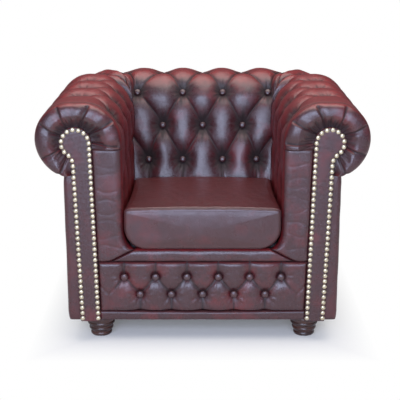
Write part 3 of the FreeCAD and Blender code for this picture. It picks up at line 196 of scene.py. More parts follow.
class Roll:
    def __init__(self, lean):
        self.start = (-lean, TUCK_HEIGHT)
        self.near = (ROLL_INNER, ROLL_TOP - ROLL_INNER)
        self.far = (ROLL_INNER + ROLL_FLAT, ROLL_TOP - ROLL_OUTER)
        across, rise = self.near[0] - self.start[0], self.near[1] - self.start[1]
        reach = math.hypot(across, rise)
        self.slope = math.atan2(rise, across) + math.asin(ROLL_INNER / reach)
        self.line = math.sqrt(reach ** 2 - ROLL_INNER ** 2)
        self.near_arc = ROLL_INNER * self.slope
        self.far_arc = ROLL_OUTER * (math.pi - ROLL_UNDER)
        self.length = self.line + self.near_arc + ROLL_FLAT + self.far_arc

    def at(self, along, depth):
        """Distance from the inside face, and height, of points a depth under the surface."""
        along, depth = np.broadcast_arrays(np.asarray(along, float), np.asarray(depth, float))
        line_u = self.start[0] + along * math.cos(self.slope) + depth * math.sin(self.slope)
        line_z = self.start[1] + along * math.sin(self.slope) - depth * math.cos(self.slope)
        past = along - self.line
        near = self.slope + math.pi / 2 - past / ROLL_INNER
        near_u = self.near[0] + (ROLL_INNER - depth) * np.cos(near)
        near_z = self.near[1] + (ROLL_INNER - depth) * np.sin(near)
        past = past - self.near_arc
        flat_u, flat_z = self.near[0] + past, ROLL_TOP - depth
        far = math.pi / 2 - (past - ROLL_FLAT) / ROLL_OUTER
        far_u = self.far[0] + (ROLL_OUTER - depth) * np.cos(far)
        far_z = self.far[1] + (ROLL_OUTER - depth) * np.sin(far)
        where = [along <= self.line, past <= 0, past <= ROLL_FLAT]
        return (np.select(where, [line_u, near_u, flat_u], far_u),
                np.select(where, [line_z, near_z, flat_z], far_z))


arm_roll = Roll(0.0)
back_roll = Roll(BACK_LEAN)


def arm_place(side, along, u, z):
    past = np.maximum(along - ARM_LENGTH, 0.0) / TURN_RADIUS
    straight = along <= ARM_LENGTH
    x = np.where(straight, INSIDE + u, INSIDE + u * np.cos(past))
    y = np.where(straight, FRONT_Y + along, CORNER_Y + u * np.sin(past))
    return np.stack([side * x, y, z], axis=-1)


def back_place(side, across, u, z):
    past = np.maximum(across - INSIDE, 0.0) / TURN_RADIUS
    turned = np.where(across > INSIDE, smooth(u / 0.05), 0.0)
    x = (1 - turned) * across + turned * (INSIDE + u * np.sin(past))
    y = CORNER_Y + u * (1 - turned + turned * np.cos(past))
    return np.stack([side * x, y, z], axis=-1)


def mitre(point):
    centre_z = ROLL_TOP - ROLL_INNER
    lean = BACK_LEAN / (centre_z - TUCK_HEIGHT)
    return ((point[..., 1] - CORNER_Y) - (np.abs(point[..., 0]) - INSIDE)
            - lean * (point[..., 2] - centre_z))


def row_number(along):
    marks = [0.0] + sorted(ROWS) + [ROWS[0] + 2 * ARM_PITCH]
    values = [3 + ROWS[3] / (ROWS[2] - ROWS[3]), 3.0, 2.0, 1.0, 0.0, -2.0]
    return np.interp(along, marks, values)


def pillow(share):
    return 1 - np.abs(2 * (share % 1.0) - 1) ** 2.6


def pillow_height(column, row, last_row, front=-99.0):
    """Diamond pillows between the first and last rows, straight channels beyond them."""
    diamonds = pillow(column + row / 2) * pillow(column - row / 2)
    below = pillow(column + last_row / 2) ** 2
    above = pillow(column) ** 2
    height = np.where(row > last_row, below, np.where(row < 0, above, diamonds))
    level = pillow((row - last_row) / 2)
    ahead = np.where(row > last_row, level * pillow(column - front), np.where(row < 0, 1.0, level ** 2))
    return np.where(column < front, ahead, height)


def nearest_whole(value):
    return np.abs((value + 0.5) % 1.0 - 0.5)


def crease_distance(column, row, last_row, front, pitch, step):
    """Distance to the nearest sewn crease."""
    slope = math.hypot(1 / pitch, 0.5 / step)
    diamonds = np.minimum(nearest_whole(column + row / 2), nearest_whole(column - row / 2)) / slope
    below = nearest_whole(column + last_row / 2) * pitch
    above = nearest_whole(column) * pitch
    reach = np.where(row > last_row, below, np.where(row < 0, above, diamonds))
    ahead = nearest_whole((row - last_row) / 2) * 2 * step
    ahead = np.where(row > last_row, np.minimum((row - last_row) * step, (front - column) * pitch), ahead)
    ahead = np.where(row < 0, 1.0, ahead)
    return np.where(column < front, ahead, reach)


def arm_spots():
    spots = []
    for number, along in enumerate(ROWS):
        start = ARM_FIRST + (0 if number % 2 else ARM_PITCH / 2)
        limit = {0: 0.70, 1: 0.75, 2: 0.52, 3: 0.44}[number]
        while start < limit:
            spots.append((start, along))
            start += ARM_PITCH
    return spots


def back_column(across, row):
    spread = np.interp(row, [0, 1, 2, 3],
                       [BACK_PITCH / 2, INSIDE - BACK_PITCH - 0.006, BACK_PITCH / 2,
                        (INSIDE - BACK_PITCH) / 2])
    return np.where(across <= BACK_PITCH, across / BACK_PITCH,
                    1 + 0.5 * (across - BACK_PITCH) / spread)


def back_spots():
    spots = []
    for number, along in enumerate(ROWS):
        if number % 2:
            spots += [(BACK_PITCH / 2, along),
                      (INSIDE - 0.010 if number == 1 else (INSIDE + BACK_PITCH) / 2, along)]
        else:
            spots += [(0.0, along), (BACK_PITCH, along)]
            if number == 0:
                spots.append((2 * BACK_PITCH, along))
    return spots


ARM_SPOTS = arm_spots()
BACK_SPOTS = back_spots()


class Tufts:
    """The depth of a buttoned cover, with folds and puckers round each button, and the painted shade in its
    creases and button hollows.
    """

    def __init__(self, spots, seed, both_ways=False):
        self.spots = spots + ([(-x, b) for x, b in spots if x] if both_ways else [])
        spin = np.random.default_rng(seed)
        self.phases = spin.uniform(0, 2 * math.pi, (len(self.spots), 3))
        self.ripple = waves(seed + 1, 0.09)
        self.fine = waves(seed + 2, 0.035)

    def depth(self, across, along, column, row, front, pitch, last_row=3, step=0.13,
              crease=CREASE_DEPTH, tuft=TUFT_DEPTH, reach=0.036, hollow_shade=0.95, hollow_shade_reach=0.050):
        height = pillow_height(column, row, last_row, front)
        depth = crease * (1 - height)
        fold = crease_distance(column, row, last_row, front, pitch, step)
        line = np.exp(-(fold / 0.0030) ** 2)
        # Painted shade along the sewn creases.
        dark = 0.9 * np.exp(-(fold / 0.0034) ** 2)
        near = np.full(np.shape(depth), 9.0)
        pucker = np.zeros(np.shape(depth))
        for (x, b), phase in zip(self.spots, self.phases):
            dx, db = across - x, along - b
            distance = np.hypot(dx, db)
            angle = np.arctan2(db, dx)
            ring = np.exp(-((distance - 0.026) / 0.013) ** 2)
            folds = (np.cos(9 * angle + phase[0]) + 0.7 * np.cos(14 * angle + phase[1])
                     + 0.5 * np.cos(21 * angle + phase[2]))
            pucker += ring * folds * 0.0007
            ragged = (np.cos(9 * angle + phase[1]) + np.cos(17 * angle + phase[2])
                      + 0.7 * np.cos(31 * angle + phase[0]))
            # Painted shade in the hollow round each button, with a ragged edge stretched upright.
            tall = np.hypot(dx * 1.25, db * 0.85)
            edge = tall * (1 - 0.11 * ragged)
            dark = np.maximum(dark, hollow_shade * (1.0 - smooth((edge - 0.45 * hollow_shade_reach) / (0.6 * hollow_shade_reach))))
            near = np.minimum(near, distance)
        dip = np.exp(-(near / reach) ** 2)
        depth += (tuft - crease) * dip + 0.004 * np.exp(-(near / 0.014) ** 2)
        depth += 0.0026 * line * (1 - dip) + pucker
        depth += 0.0009 * self.ripple(across, along) * height + 0.0003 * self.fine(across, along)
        return depth, dark


arm_tufts = {side: Tufts(ARM_SPOTS, 20 + side) for side in SIDES}
back_tufts = Tufts(BACK_SPOTS, 31, both_ways=True)


def arm_depth(side):
    def depth_of(across, along):
        column = (across - ARM_FIRST) / ARM_PITCH - 0.5
        depth, dark = arm_tufts[side].depth(across, along, column, row_number(along), -0.5, ARM_PITCH)
        fade = smooth(across / 0.055)
        return np.maximum(depth * fade, 0.0), dark * fade
    return depth_of


def back_depth(side):
    def depth_of(across, along):
        row = row_number(along)
        column = back_column(across, row)
        depth, dark = back_tufts.depth(side * across, along, column, row, -99.0, BACK_PITCH)
        return np.maximum(depth, 0.0), dark
    return depth_of


def plain_depth(amount):
    return lambda across, along: (amount + 0 * across, 0 * across)


def cover_grid(place, side, roll, depth_of, columns, rows, squeeze):
    """Rows of points up and over the roll, each line running to the mitre in the corner."""
    along = np.linspace(0, roll.length, rows)
    runs_back = 1 if place is arm_place else -1
    straight = ARM_LENGTH if place is arm_place else INSIDE

    def points(across):
        depth, dark = depth_of(across, along[:, None] + 0 * across)
        u, z = roll.at(along[:, None] + 0 * across, depth)
        return place(side, across, u, z), dark

    low = np.full((rows, 1), 0.02)
    high = np.full((rows, 1), straight + TURN_RADIUS * 1.5)
    for _ in range(34):
        middle = (low + high) / 2
        beyond = runs_back * mitre(points(middle)[0]) + FIT_GAP >= 0
        high = np.where(beyond, middle, high)
        low = np.where(beyond, low, middle)
    fixed = np.minimum(straight - squeeze, low * 0.72)
    count = int(columns * 0.62)
    first = fixed * np.linspace(0, 1, count)[None, :]
    rest = fixed + (low - fixed) * np.linspace(0, 1, columns - count + 1)[None, 1:]
    return points(np.concatenate([first, rest], axis=1))


def closed_cover(mesh, outer, folds, inner):
    front = mesh.grid(outer, folds)
    back = mesh.grid(inner)
    for edge in (np.s_[0], np.s_[-1], np.s_[:, 0], np.s_[:, -1]):
        mesh.strip(front[edge].tolist(), back[edge].tolist())


# Materials.

class Look:
    """Adds nodes to a material's or a world's tree, and links them."""

    def __init__(self, owner):
        owner.use_nodes = True
        self.owner = owner
        self.nodes, self.links = owner.node_tree.nodes, owner.node_tree.links

    def link(self, value, socket):
        self.links.new(value, socket)

    def node(self, kind, **inputs):
        made = self.nodes.new(kind)
        for key, value in inputs.items():
            made.inputs[key].default_value = value
        return made

    def coordinates(self):
        return self.node("ShaderNodeTexCoord").outputs["Object"]

    def noise(self, where, scale, detail=4.0, roughness=0.55, stretch=None):
        made = self.node("ShaderNodeTexNoise", Scale=scale, Detail=detail, Roughness=roughness)
        if stretch:
            mapping = self.node("ShaderNodeMapping", Scale=stretch)
            self.link(where, mapping.inputs["Vector"])
            where = mapping.outputs["Vector"]
        self.link(where, made.inputs["Vector"])
        return made.outputs["Fac"]

    def spread(self, value, low, high, to_low=0.0, to_high=1.0):
        made = self.node("ShaderNodeMapRange")
        for key, amount in zip(("From Min", "From Max", "To Min", "To Max"), (low, high, to_low, to_high)):
            made.inputs[key].default_value = amount
        self.link(value, made.inputs["Value"])
        return made.outputs["Result"]

    def fill(self, socket, value):
        """Sets a number or a colour, or links another node's output."""
        if isinstance(value, (int, float)):
            socket.default_value = value
        elif isinstance(value, tuple):
            socket.default_value = (*value, 1.0)
        else:
            self.link(value, socket)

    def mix(self, share, one, other):
        made = self.node("ShaderNodeMix")
        made.data_type = "RGBA"
        for key, value in ((0, share), (6, one), (7, other)):
            self.fill(made.inputs[key], value)
        return made.outputs[2]

    def calculate(self, operation, one, other=0.0):
        made = self.node("ShaderNodeMath")
        made.operation = operation
        for socket, value in zip(made.inputs, (one, other)):
            self.fill(socket, value)
        return made.outputs[0]

    def mix_shaders(self, share, one, other, output):
        """Blends two shaders by a share and sends the result to an output node's surface."""
        made = self.node("ShaderNodeMixShader")
        for socket, value in zip(made.inputs, (share, one.outputs[0], other.outputs[0])):
            self.link(value, socket)
        self.link(made.outputs[0], self.nodes[output].inputs["Surface"])

    def bump(self, shader, layers):
        """Stacks bumps, each a height value, its strength and its depth in metres."""
        last = None
        for height, strength, distance in layers:
            made = self.node("ShaderNodeBump", Strength=strength, Distance=distance)
            self.link(height, made.inputs["Height"])
            if last:
                self.link(last, made.inputs["Normal"])
            last = made.outputs["Normal"]
        self.link(last, shader.inputs["Normal"])


def new_look(name):
    look = Look(bpy.data.materials.new(name))
    return look, look.nodes["Principled BSDF"]


def leather(name, base, light, fold_shade, rough=0.25, coat=0.35, patches=(13.0, 0.48, 0.66), painted_light=0.9):
    look, shader = new_look(name)
    place = look.coordinates()
    fold = look.node("ShaderNodeAttribute")
    fold.attribute_name = "fold"
    cloudy = look.noise(place, patches[0], detail=7.0, roughness=0.62)
    mottle = look.noise(place, 42.0, detail=5.0, roughness=0.62)
    worn = look.spread(cloudy, patches[1], patches[2], 0.0, 0.34)
    speckle = look.spread(mottle, 0.35, 0.70)
    # Painted light: surfaces facing up and surfaces turned away from the front take the redder colour,
    # standing for top light and side light; the worn patches mixed in next are real rubbed wear.
    facing_way = look.node("ShaderNodeSeparateXYZ")
    look.link(look.node("ShaderNodeNewGeometry").outputs["Normal"], facing_way.inputs[0])
    to_front = look.calculate("MULTIPLY", facing_way.outputs["Y"], -1.0)
    turned = look.spread(to_front, 0.70, 0.22, 0.0, 0.75 * painted_light)
    painted_top_light = look.spread(facing_way.outputs["Z"], 0.55, 0.90, 0.0, painted_light)
    light_and_wear_red = look.calculate("MAXIMUM", turned, painted_top_light)
    light_and_wear_red = look.calculate("MAXIMUM", light_and_wear_red, worn)
    tone = look.mix(light_and_wear_red, base, light)
    darker = tuple(0.62 * part for part in base)
    tone = look.mix(look.calculate("MULTIPLY", speckle, 0.45), tone, darker)
    # Painted shade: the fold attribute pulls the colour towards the dark shade colour in creases, seams,
    # hollows and along edges.
    tone = look.mix(fold.outputs["Fac"], tone, fold_shade)
    look.link(tone, shader.inputs["Base Color"])
    roughness = look.spread(mottle, 0.2, 0.8, rough - 0.06, rough + 0.10)
    rougher_in_folds = look.calculate("MULTIPLY", fold.outputs["Fac"], 0.60)
    dulled = look.calculate("MULTIPLY", light_and_wear_red, 0.16)
    duller = look.calculate("ADD", rougher_in_folds, dulled)
    look.link(look.calculate("ADD", roughness, duller), shader.inputs["Roughness"])
    shader.inputs["Coat Weight"].default_value = coat
    shader.inputs["Coat Roughness"].default_value = 0.28
    shader.inputs["Specular IOR Level"].default_value = 0.62
    cells = look.node("ShaderNodeTexVoronoi", Scale=560.0)
    cells.feature = "DISTANCE_TO_EDGE"
    look.link(place, cells.inputs["Vector"])
    grain = look.spread(cells.outputs["Distance"], 0.0, 0.16)
    creases = look.noise(place, 70.0, detail=6.0, roughness=0.7)
    look.bump(shader, [(creases, 0.30, 0.0020), (grain, 0.35, 0.00030)])
    return look.owner


def wood(name, dark, light, rough, gloss, grain=(1.0, 1.0, 6.0)):
    look, shader = new_look(name)
    place = look.coordinates()
    rings = look.noise(place, 14.0, detail=5.0, roughness=0.6, stretch=grain)
    pores = look.noise(place, 120.0, detail=3.0, stretch=grain)
    share = look.spread(rings, 0.35, 0.68)
    tone = look.mix(share, dark, light)
    shade = look.calculate("MULTIPLY", look.spread(pores, 0.45, 0.75), 0.5)
    tone = look.mix(shade, tone, tuple(0.45 * part for part in dark))
    look.link(tone, shader.inputs["Base Color"])
    look.link(look.spread(pores, 0.2, 0.8, rough, rough + 0.15), shader.inputs["Roughness"])
    shader.inputs["Coat Weight"].default_value = gloss
    shader.inputs["Coat Roughness"].default_value = 0.15
    look.bump(shader, [(rings, 0.15, 0.0006), (pores, 0.25, 0.0002)])
    return look.owner


def metal(name, bright, tarnish, rough, share=(0.42, 0.62), scale=60.0):
    look, shader = new_look(name)
    place = look.coordinates()
    stains = look.noise(place, scale, detail=5.0, roughness=0.65)
    tone = look.mix(look.spread(stains, *share), bright, tarnish)
    look.link(tone, shader.inputs["Base Color"])
    look.link(look.spread(stains, 0.2, 0.8, rough, rough + 0.22), shader.inputs["Roughness"])
    shader.inputs["Metallic"].default_value = 1.0
    look.bump(shader, [(stains, 0.12, 0.0003)])
    return look.owner


def cloth(name, one, other, scale, rough=0.9):
    look, shader = new_look(name)
    place = look.coordinates()
    weave = look.node("ShaderNodeTexVoronoi", Scale=scale)
    look.link(place, weave.inputs["Vector"])
    fluff = look.noise(place, scale / 9, detail=6.0, roughness=0.7)
    tone = look.mix(look.spread(fluff, 0.3, 0.7), one, other)
    shade = look.calculate("MULTIPLY", weave.outputs["Distance"], 0.5)
    tone = look.mix(shade, tone, tuple(0.5 * part for part in one))
    look.link(tone, shader.inputs["Base Color"])
    shader.inputs["Roughness"].default_value = rough
    shader.inputs["Sheen Weight"].default_value = 0.15
    look.bump(shader, [(fluff, 0.3, 0.001), (weave.outputs["Distance"], 0.4, 0.0004)])
    return look.owner


HIDE_BROWN = (0.050, 0.013, 0.015)
# The dark colour below is painted shade for the folds, seams and hollows.
HIDE_PAINTED_SHADE = (0.014, 0.0045, 0.0035)
OXBLOOD = leather("oxblood leather", HIDE_BROWN, (0.225, 0.011, 0.013), HIDE_PAINTED_SHADE, coat=0.20)
# The outside panels face sideways, so they take much less of the painted top light and side light.
OUTSIDE_HIDE = leather("outside leather", HIDE_BROWN, (0.150, 0.011, 0.013), HIDE_PAINTED_SHADE, coat=0.20,
                       patches=(10.0, 0.42, 0.66), painted_light=0.22)
SEAT_HIDE = leather("seat leather", (0.055, 0.014, 0.015), (0.190, 0.012, 0.014), HIDE_PAINTED_SHADE,
                    rough=0.28, coat=0.20, painted_light=0.30)
BUTTON_HIDE = leather("button leather", (0.050, 0.014, 0.016), (0.100, 0.012, 0.013),
                      (0.012, 0.004, 0.003), rough=0.26, coat=0.5, painted_light=0.4)
MAHOGANY = wood("dark mahogany", (0.026, 0.0075, 0.0045), (0.085, 0.026, 0.014), 0.24, 0.5)
BEECH = wood("beech", (0.36, 0.20, 0.095), (0.56, 0.36, 0.19), 0.55, 0.0)
BRASS = metal("antique brass", (0.66, 0.58, 0.41), (0.34, 0.26, 0.15), 0.30, share=(0.5, 0.75), scale=90.0)
STEEL = metal("spring steel", (0.42, 0.42, 0.44), (0.14, 0.13, 0.13), 0.34)
GLIDE = metal("nickelled glide", (0.60, 0.59, 0.57), (0.33, 0.31, 0.29), 0.25)
FOAM = cloth("wadding and foam", (0.62, 0.56, 0.42), (0.74, 0.69, 0.56), 520.0)
LINING = cloth("black lining", (0.012, 0.012, 0.013), (0.022, 0.021, 0.022), 900.0)
JUTE = cloth("jute webbing", (0.28, 0.20, 0.11), (0.42, 0.32, 0.19), 420.0)

SLOT_LOOKS = {"button_leather": BUTTON_HIDE, "cushion_leather": SEAT_HIDE, "filling": FOAM,
              "foot_wood": MAHOGANY, "frame_wood": BEECH, "glide": GLIDE, "leather": OXBLOOD,
              "lining": LINING, "nails": BRASS, "spring_steel": STEEL, "tufted_leather": OXBLOOD,
              "webbing": JUTE}

# Every CAD node keeps its mesh and takes the finish of its slot.
for part in frame["record"]["subparts"]:
    shown = frame["nodes"][part["node"]].data
    shown.materials.clear()
    shown.materials.append(SLOT_LOOKS[part["material_slot"]])


# Tufted inside covers of the arms and the back.

def arm_cover(side):
    outer, dark = cover_grid(arm_place, side, arm_roll, arm_depth(side), ARM_COLUMNS, COVER_ROWS, 0.03)
    inner, _ = cover_grid(arm_place, side, arm_roll, plain_depth(COVER_DEPTH), 30, 60, 0.03)
    mesh = Mesh()
    closed_cover(mesh, outer, dark, inner)
    mesh.build(SIDES[side] + "_arm_cover", [SIDES[side] + "_arm_tufting"], "tufted_leather", OXBLOOD,
               fill=0.8)


def back_cover():
    halves = {}
    for side in (1, -1):
        outer = cover_grid(back_place, side, back_roll, back_depth(side), BACK_COLUMNS, COVER_ROWS, 0.03)
        inner = cover_grid(back_place, side, back_roll, plain_depth(COVER_DEPTH), 20, 60, 0.03)
        halves[side] = (*outer, inner[0])
    outer, dark, inner = (np.concatenate([halves[-1][index][:, ::-1], halves[1][index][:, 1:]], axis=1)
                          for index in range(3))
    mesh = Mesh()
    closed_cover(mesh, outer, dark, inner)
    mesh.build("back_cover", ["back_tufting"], "tufted_leather", OXBLOOD, fill=0.8)


for side in SIDES:
    arm_cover(side)
back_cover()


# Arm fronts: pleated scroll, padded border, nailed facing.

SCROLL_PLEAT = 0.007
SCROLL_FOLDS = (-2, 31, 71, 117, 156, 200, 240)
ARCH_RADIUS = 0.043
ARCH_CENTRE = (0.144, 0.662)
NECK_CURVE = 0.040
NECK_INNER_FOOT = 0.087
NECK_OUTER_FOOT = 0.137
NECK_OUTER_TOP = 0.152
NAIL_FOOT = 0.082
FACING_MARGIN = 0.007
FACING_THICKNESS = 0.012
FACING_FACE = FRONT_Y - SCROLL_CORE - FIT_GAP - FACING_THICKNESS
SEAM_HEIGHT = 0.642
LIP_TOP = 0.314
LIP_FOOT = 0.274
OPENING_TOP = 0.385
OPENING_HALF = 0.215
APRON_HALF = 0.331
APRON_FOOT = 0.104
LIP_MITRE = 0.042
LIP_DEPTH = 0.038
BORDER_BULGE = 0.012
BAND_DEPTH = 0.033
BAND_SAG = 0.0036
APRON_DEPTH = 0.040
APRON_SEAM = 0.003
NAIL_PITCH = 0.0182
FACING_ROUNDING = 0.012


def keyhole(shift):
    """Points of the nail line moved outwards, from the arm's inside face and in height."""
    arch, hollow = ARCH_RADIUS + shift, NECK_CURVE - shift
    inner, outer = NECK_INNER_FOOT - shift, NECK_OUTER_FOOT + shift
    reach = math.hypot(ARCH_CENTRE[0] - inner, ARCH_CENTRE[1] - NAIL_FOOT)
    lean = math.atan2(ARCH_CENTRE[0] - inner, ARCH_CENTRE[1] - NAIL_FOOT) - math.asin(arch / reach)
    top = (ARCH_CENTRE[0] - arch * math.cos(lean), ARCH_CENTRE[1] + arch * math.sin(lean))
    side_u = NECK_OUTER_TOP + shift + hollow
    side_z = ARCH_CENTRE[1] - math.sqrt((arch + hollow) ** 2 - (side_u - ARCH_CENTRE[0]) ** 2)
    toward = math.atan2(side_z - ARCH_CENTRE[1], side_u - ARCH_CENTRE[0])
    join = (ARCH_CENTRE[0] + arch * math.cos(toward), ARCH_CENTRE[1] + arch * math.sin(toward))
    return {"foot_in": (inner, NAIL_FOOT), "top_in": top, "join": join, "arch": arch,
            "hollow": hollow, "hollow_centre": (side_u, side_z),
            "neck": (NECK_OUTER_TOP + shift, side_z), "foot_out": (outer, NAIL_FOOT)}


def arc(centre, radius, start, end, count):
    angles = np.linspace(start, end, count)
    return np.stack([centre[0] + radius * np.cos(angles), centre[1] + radius * np.sin(angles)], axis=-1)


def key_line(shift, foot):
    """The whole keyhole line, from its inner foot over the arch to its outer foot."""
    marks = keyhole(shift)
    begin = math.atan2(marks["top_in"][1] - ARCH_CENTRE[1], marks["top_in"][0] - ARCH_CENTRE[0])
    finish = math.atan2(marks["join"][1] - ARCH_CENTRE[1], marks["join"][0] - ARCH_CENTRE[0])
    turn = math.atan2(marks["join"][1] - marks["hollow_centre"][1],
                      marks["join"][0] - marks["hollow_centre"][0])
    over = arc(ARCH_CENTRE, marks["arch"], begin, finish, 61)
    neck = arc(marks["hollow_centre"], marks["hollow"], turn, math.pi, 17)[1:]
    feet = [(edge_line(foot, shift, True), foot), (edge_line(foot, shift, False), foot)]
    return np.concatenate([[feet[0]], over, neck, [feet[1]]])


def edge_line(z, shift, inner):
    marks = keyhole(shift)
    low, high = (marks["foot_in"], marks["top_in"]) if inner else (marks["foot_out"], marks["neck"])
    return low[0] + (high[0] - low[0]) * (z - low[1]) / (high[1] - low[1])


def beside_facing(z):
    return edge_line(z, FACING_MARGIN + FIT_GAP, True)


def evenly(line, count):
    """Points at even steps along a line."""
    run = distances(line)
    at = np.linspace(0, run[-1], count)
    return np.stack([np.interp(at, run, line[:, axis]) for axis in range(line.shape[1])], axis=-1)


def scroll_front(side):
    """Leather drawn in pleats from the rim of the roll to the facing."""
    count, depth_count = 380, 74
    start = arm_roll.line - (arm_roll.near[1] - SEAM_HEIGHT)
    rim = np.stack(arm_roll.at(np.linspace(start, arm_roll.length, count), 0.0), axis=-1)
    core = key_line(FACING_MARGIN / 2, SEAM_HEIGHT)
    core[-1] = (edge_line(rim[-1, 1], FACING_MARGIN / 2, False), rim[-1, 1])
    core = evenly(core, count)
    share = np.linspace(0, 1, depth_count)[:, None] ** 1.25
    u = rim[None, :, 0] + (core[None, :, 0] - rim[None, :, 0]) * share
    z = rim[None, :, 1] + (core[None, :, 1] - rim[None, :, 1]) * share
    angle = np.degrees(np.arctan2(z - ARCH_CENTRE[1], ARCH_CENTRE[0] - u)) % 360
    angle = np.where(angle > 300, angle - 360, angle)
    rise = 1 - np.minimum(share / 0.50, 1.0)
    crown = SCROLL_BULGE * (1 - rise ** 2.3) ** (1 / 2.1)
    crown = crown - (SCROLL_BULGE - SCROLL_CORE) * smooth((share - 0.40) / 0.56)
    ripple = waves(60 + side, 0.05)
    wide = waves(64 + side, 0.13)
    fold = np.zeros_like(u)
    depth = np.zeros_like(u)
    spin = np.random.default_rng(70 + side)
    main = [(a + spin.uniform(-4, 4), 1.0) for a in SCROLL_FOLDS]
    minor = [(a, 0.28 + 0.3 * spin.random()) for a in np.arange(-10, 250, 13) + spin.uniform(-4, 4, 20)]
    for place_at, weight in main + minor:
        bend = place_at + 5 * (1 - share) * math.sin(place_at)
        off = angle - bend
        sharp = np.where(off > 0, np.exp(-(off / (7.0 * (1.35 - share))) ** 2), np.exp(-(off / 2.2) ** 2))
        reach_out = 0.05 if weight == 1.0 else 0.42 + 0.2 * spin.random()
        strength = weight * smooth((share - reach_out) / 0.15) * (1 - smooth((share - 0.97) / 0.03))
        depth += strength * sharp * SCROLL_PLEAT * 0.85
        # Painted shade along each pleat.
        fold = np.maximum(fold, strength * np.exp(-(off / 2.0) ** 2) * 0.85)
    crown = crown - np.minimum(depth, 0.011)
    crown = crown - 0.0016 * ripple(u, z) * smooth(share * 4) - 0.002 * wide(u, z) * smooth(share * 3)
    # Painted shade where the pleats sink towards the facing, stronger in the upper half, and along the
    # facing and the rim.
    ragged = 0.05 * np.cos(np.radians(angle) * 23) + 0.05 * np.cos(np.radians(angle) * 41 + side)
    upper = smooth((angle + 10) / 30) * (1 - smooth((angle - 165) / 30))
    fold = np.maximum(fold, (0.25 + 0.5 * upper) * smooth((share - 0.58 - ragged) / 0.16))
    fold = np.maximum(fold, 0.8 * smooth((share - 0.90) / 0.09))
    fold = np.maximum(fold, 0.6 * (1 - smooth(share / 0.03)))
    swell = 0.0085 * np.sin(math.pi * np.minimum(share / 0.40, 1.0)) ** 0.8
    swell = swell * (1 - 0.7 * np.minimum(fold, 1.0)) * smooth((angle + 30) / 30)
    outward = rim - core
    outward = outward / np.linalg.norm(outward, axis=1)[:, None]
    u = u + swell * outward[None, :, 0]
    z = z + swell * outward[None, :, 1]
    points = np.stack([side * (INSIDE + u), FRONT_Y - np.maximum(crown, 0.0), z], axis=-1)
    back = points[-1:].copy()
    back[..., 1] = FRONT_Y
    whole = np.concatenate([points, back, points[:1]])
    folds = np.concatenate([fold, fold[-1:], fold[:1]])
    mesh = Mesh()
    index = mesh.grid(whole, folds)
    mesh.face(index[:-1, 0])
    mesh.face(index[:-1, -1][::-1])
    name = SIDES[side]
    mesh.build(name + "_scroll", [name + "_scroll_front"], "tufted_leather", OXBLOOD, fill=0.85)


def rounded(distance, radius):
    """How far an edge has turned in, 1 at the edge and 0 from a radius inside it."""
    share = np.clip(distance / radius, 0.0, 1.0)
    return 1 - np.sqrt(share * (2 - share))


def panel(name, low, high, left_of, right_of, front_of, slot, look, node_name, fill=0.7):
    """A padded piece on the front plane between two upright edges, its face given by a function."""
    rows = max(int((high - low) / GRID) + 1, 3)
    z = np.linspace(low, high, rows)[:, None]
    left, right = left_of(z), right_of(z)
    columns = max(int(np.max(right - left) / GRID) + 1, 3)
    x = left + (right - left) * np.linspace(0, 1, columns)[None, :]
    reach, fold = front_of(x, z + 0 * x, x - left, right - x)
    outer = np.stack([x, FRONT_Y - reach, z + 0 * x], axis=-1)
    back_x = left[::8] + (right[::8] - left[::8]) * np.linspace(0, 1, 9)[None, :]
    if rows % 8 != 1:
        back_x = np.concatenate([back_x, left[-1:] + (right[-1:] - left[-1:]) * np.linspace(0, 1, 9)])
    back_z = np.concatenate([z[::8], z[-1:]])[:len(back_x)]
    inner = np.stack([back_x, np.full(back_x.shape, FRONT_Y), back_z + 0 * back_x], axis=-1)
    mesh = Mesh()
    closed_cover(mesh, outer, fold, inner)
    return mesh.build(name, [node_name], slot, look, fill=fill)


def front_border(side):
    """Padded strip down the inside of an arm front; it turns in under the cushion."""
    turn_u, foot = OPENING_HALF - INSIDE, LIP_FOOT + FIT_GAP
    mitre_u = APRON_HALF - LIP_MITRE - INSIDE
    seam = SEAM_HEIGHT - FIT_GAP

    def edge_of(z):
        share = np.clip((OPENING_TOP - z) / (OPENING_TOP - LIP_TOP), 0, 1)
        curve = turn_u * (1 - np.sqrt(np.maximum(1 - share ** 2.4, 0.0)))
        below = turn_u + (mitre_u - turn_u) * (LIP_TOP - z) / (LIP_TOP - foot)
        return np.where(z > OPENING_TOP, 0.0, np.where(z > LIP_TOP, curve, below))

    ripple, wide = waves(80 + side, 0.06), waves(82 + side, 0.16)
    spin = np.random.default_rng(84 + side)
    creases = [(z0, spin.uniform(-0.25, 0.25), spin.uniform(0.4, 1.0)) for z0 in
               np.arange(0.33, 0.62, 0.037) + spin.uniform(-0.012, 0.012, 8)]

    def face(u, z, to_left, to_right):
        to_inner = to_left if side > 0 else to_right
        to_facing = to_right if side > 0 else to_left
        real_u = side * u - INSIDE
        reach = SCROLL_CORE + BORDER_BULGE - 0.022 * rounded(to_inner, 0.026)
        reach = reach - 0.007 * rounded(to_facing, 0.016) - 0.005 * rounded(seam - z, 0.010)
        below = LIP_TOP - z
        reach = reach - 0.005 * rounded(z - foot, 0.010) * (below > -0.02)
        # Painted shade along the seam under the scroll, beside the facing and in each crease.
        fold = 0.75 * (1 - smooth((seam - z) / 0.006)) + 0.5 * (1 - smooth(to_facing / 0.004))
        for z0, tilt, weight in creases:
            off = z - z0 - tilt * (real_u - 0.04) - 0.006 * np.sin(real_u * 60 + z0 * 90)
            dip = np.exp(-(off / 0.0035) ** 2) * smooth((real_u + 0.01) / 0.03)
            reach = reach - 0.0011 * weight * dip
            fold = np.maximum(fold, 0.16 * weight * dip)
        return reach - 0.0012 * ripple(u, z) - 0.0016 * wide(u, z), np.clip(fold, 0, 1)

    def left_of(z):
        return INSIDE + edge_of(z) if side > 0 else -(INSIDE + beside_facing(z))

    def right_of(z):
        return INSIDE + beside_facing(z) if side > 0 else -(INSIDE + edge_of(z))

    name = SIDES[side]
    panel(name + "_border", foot, seam, left_of, right_of, face, "leather", OXBLOOD,
          name + "_front_border")


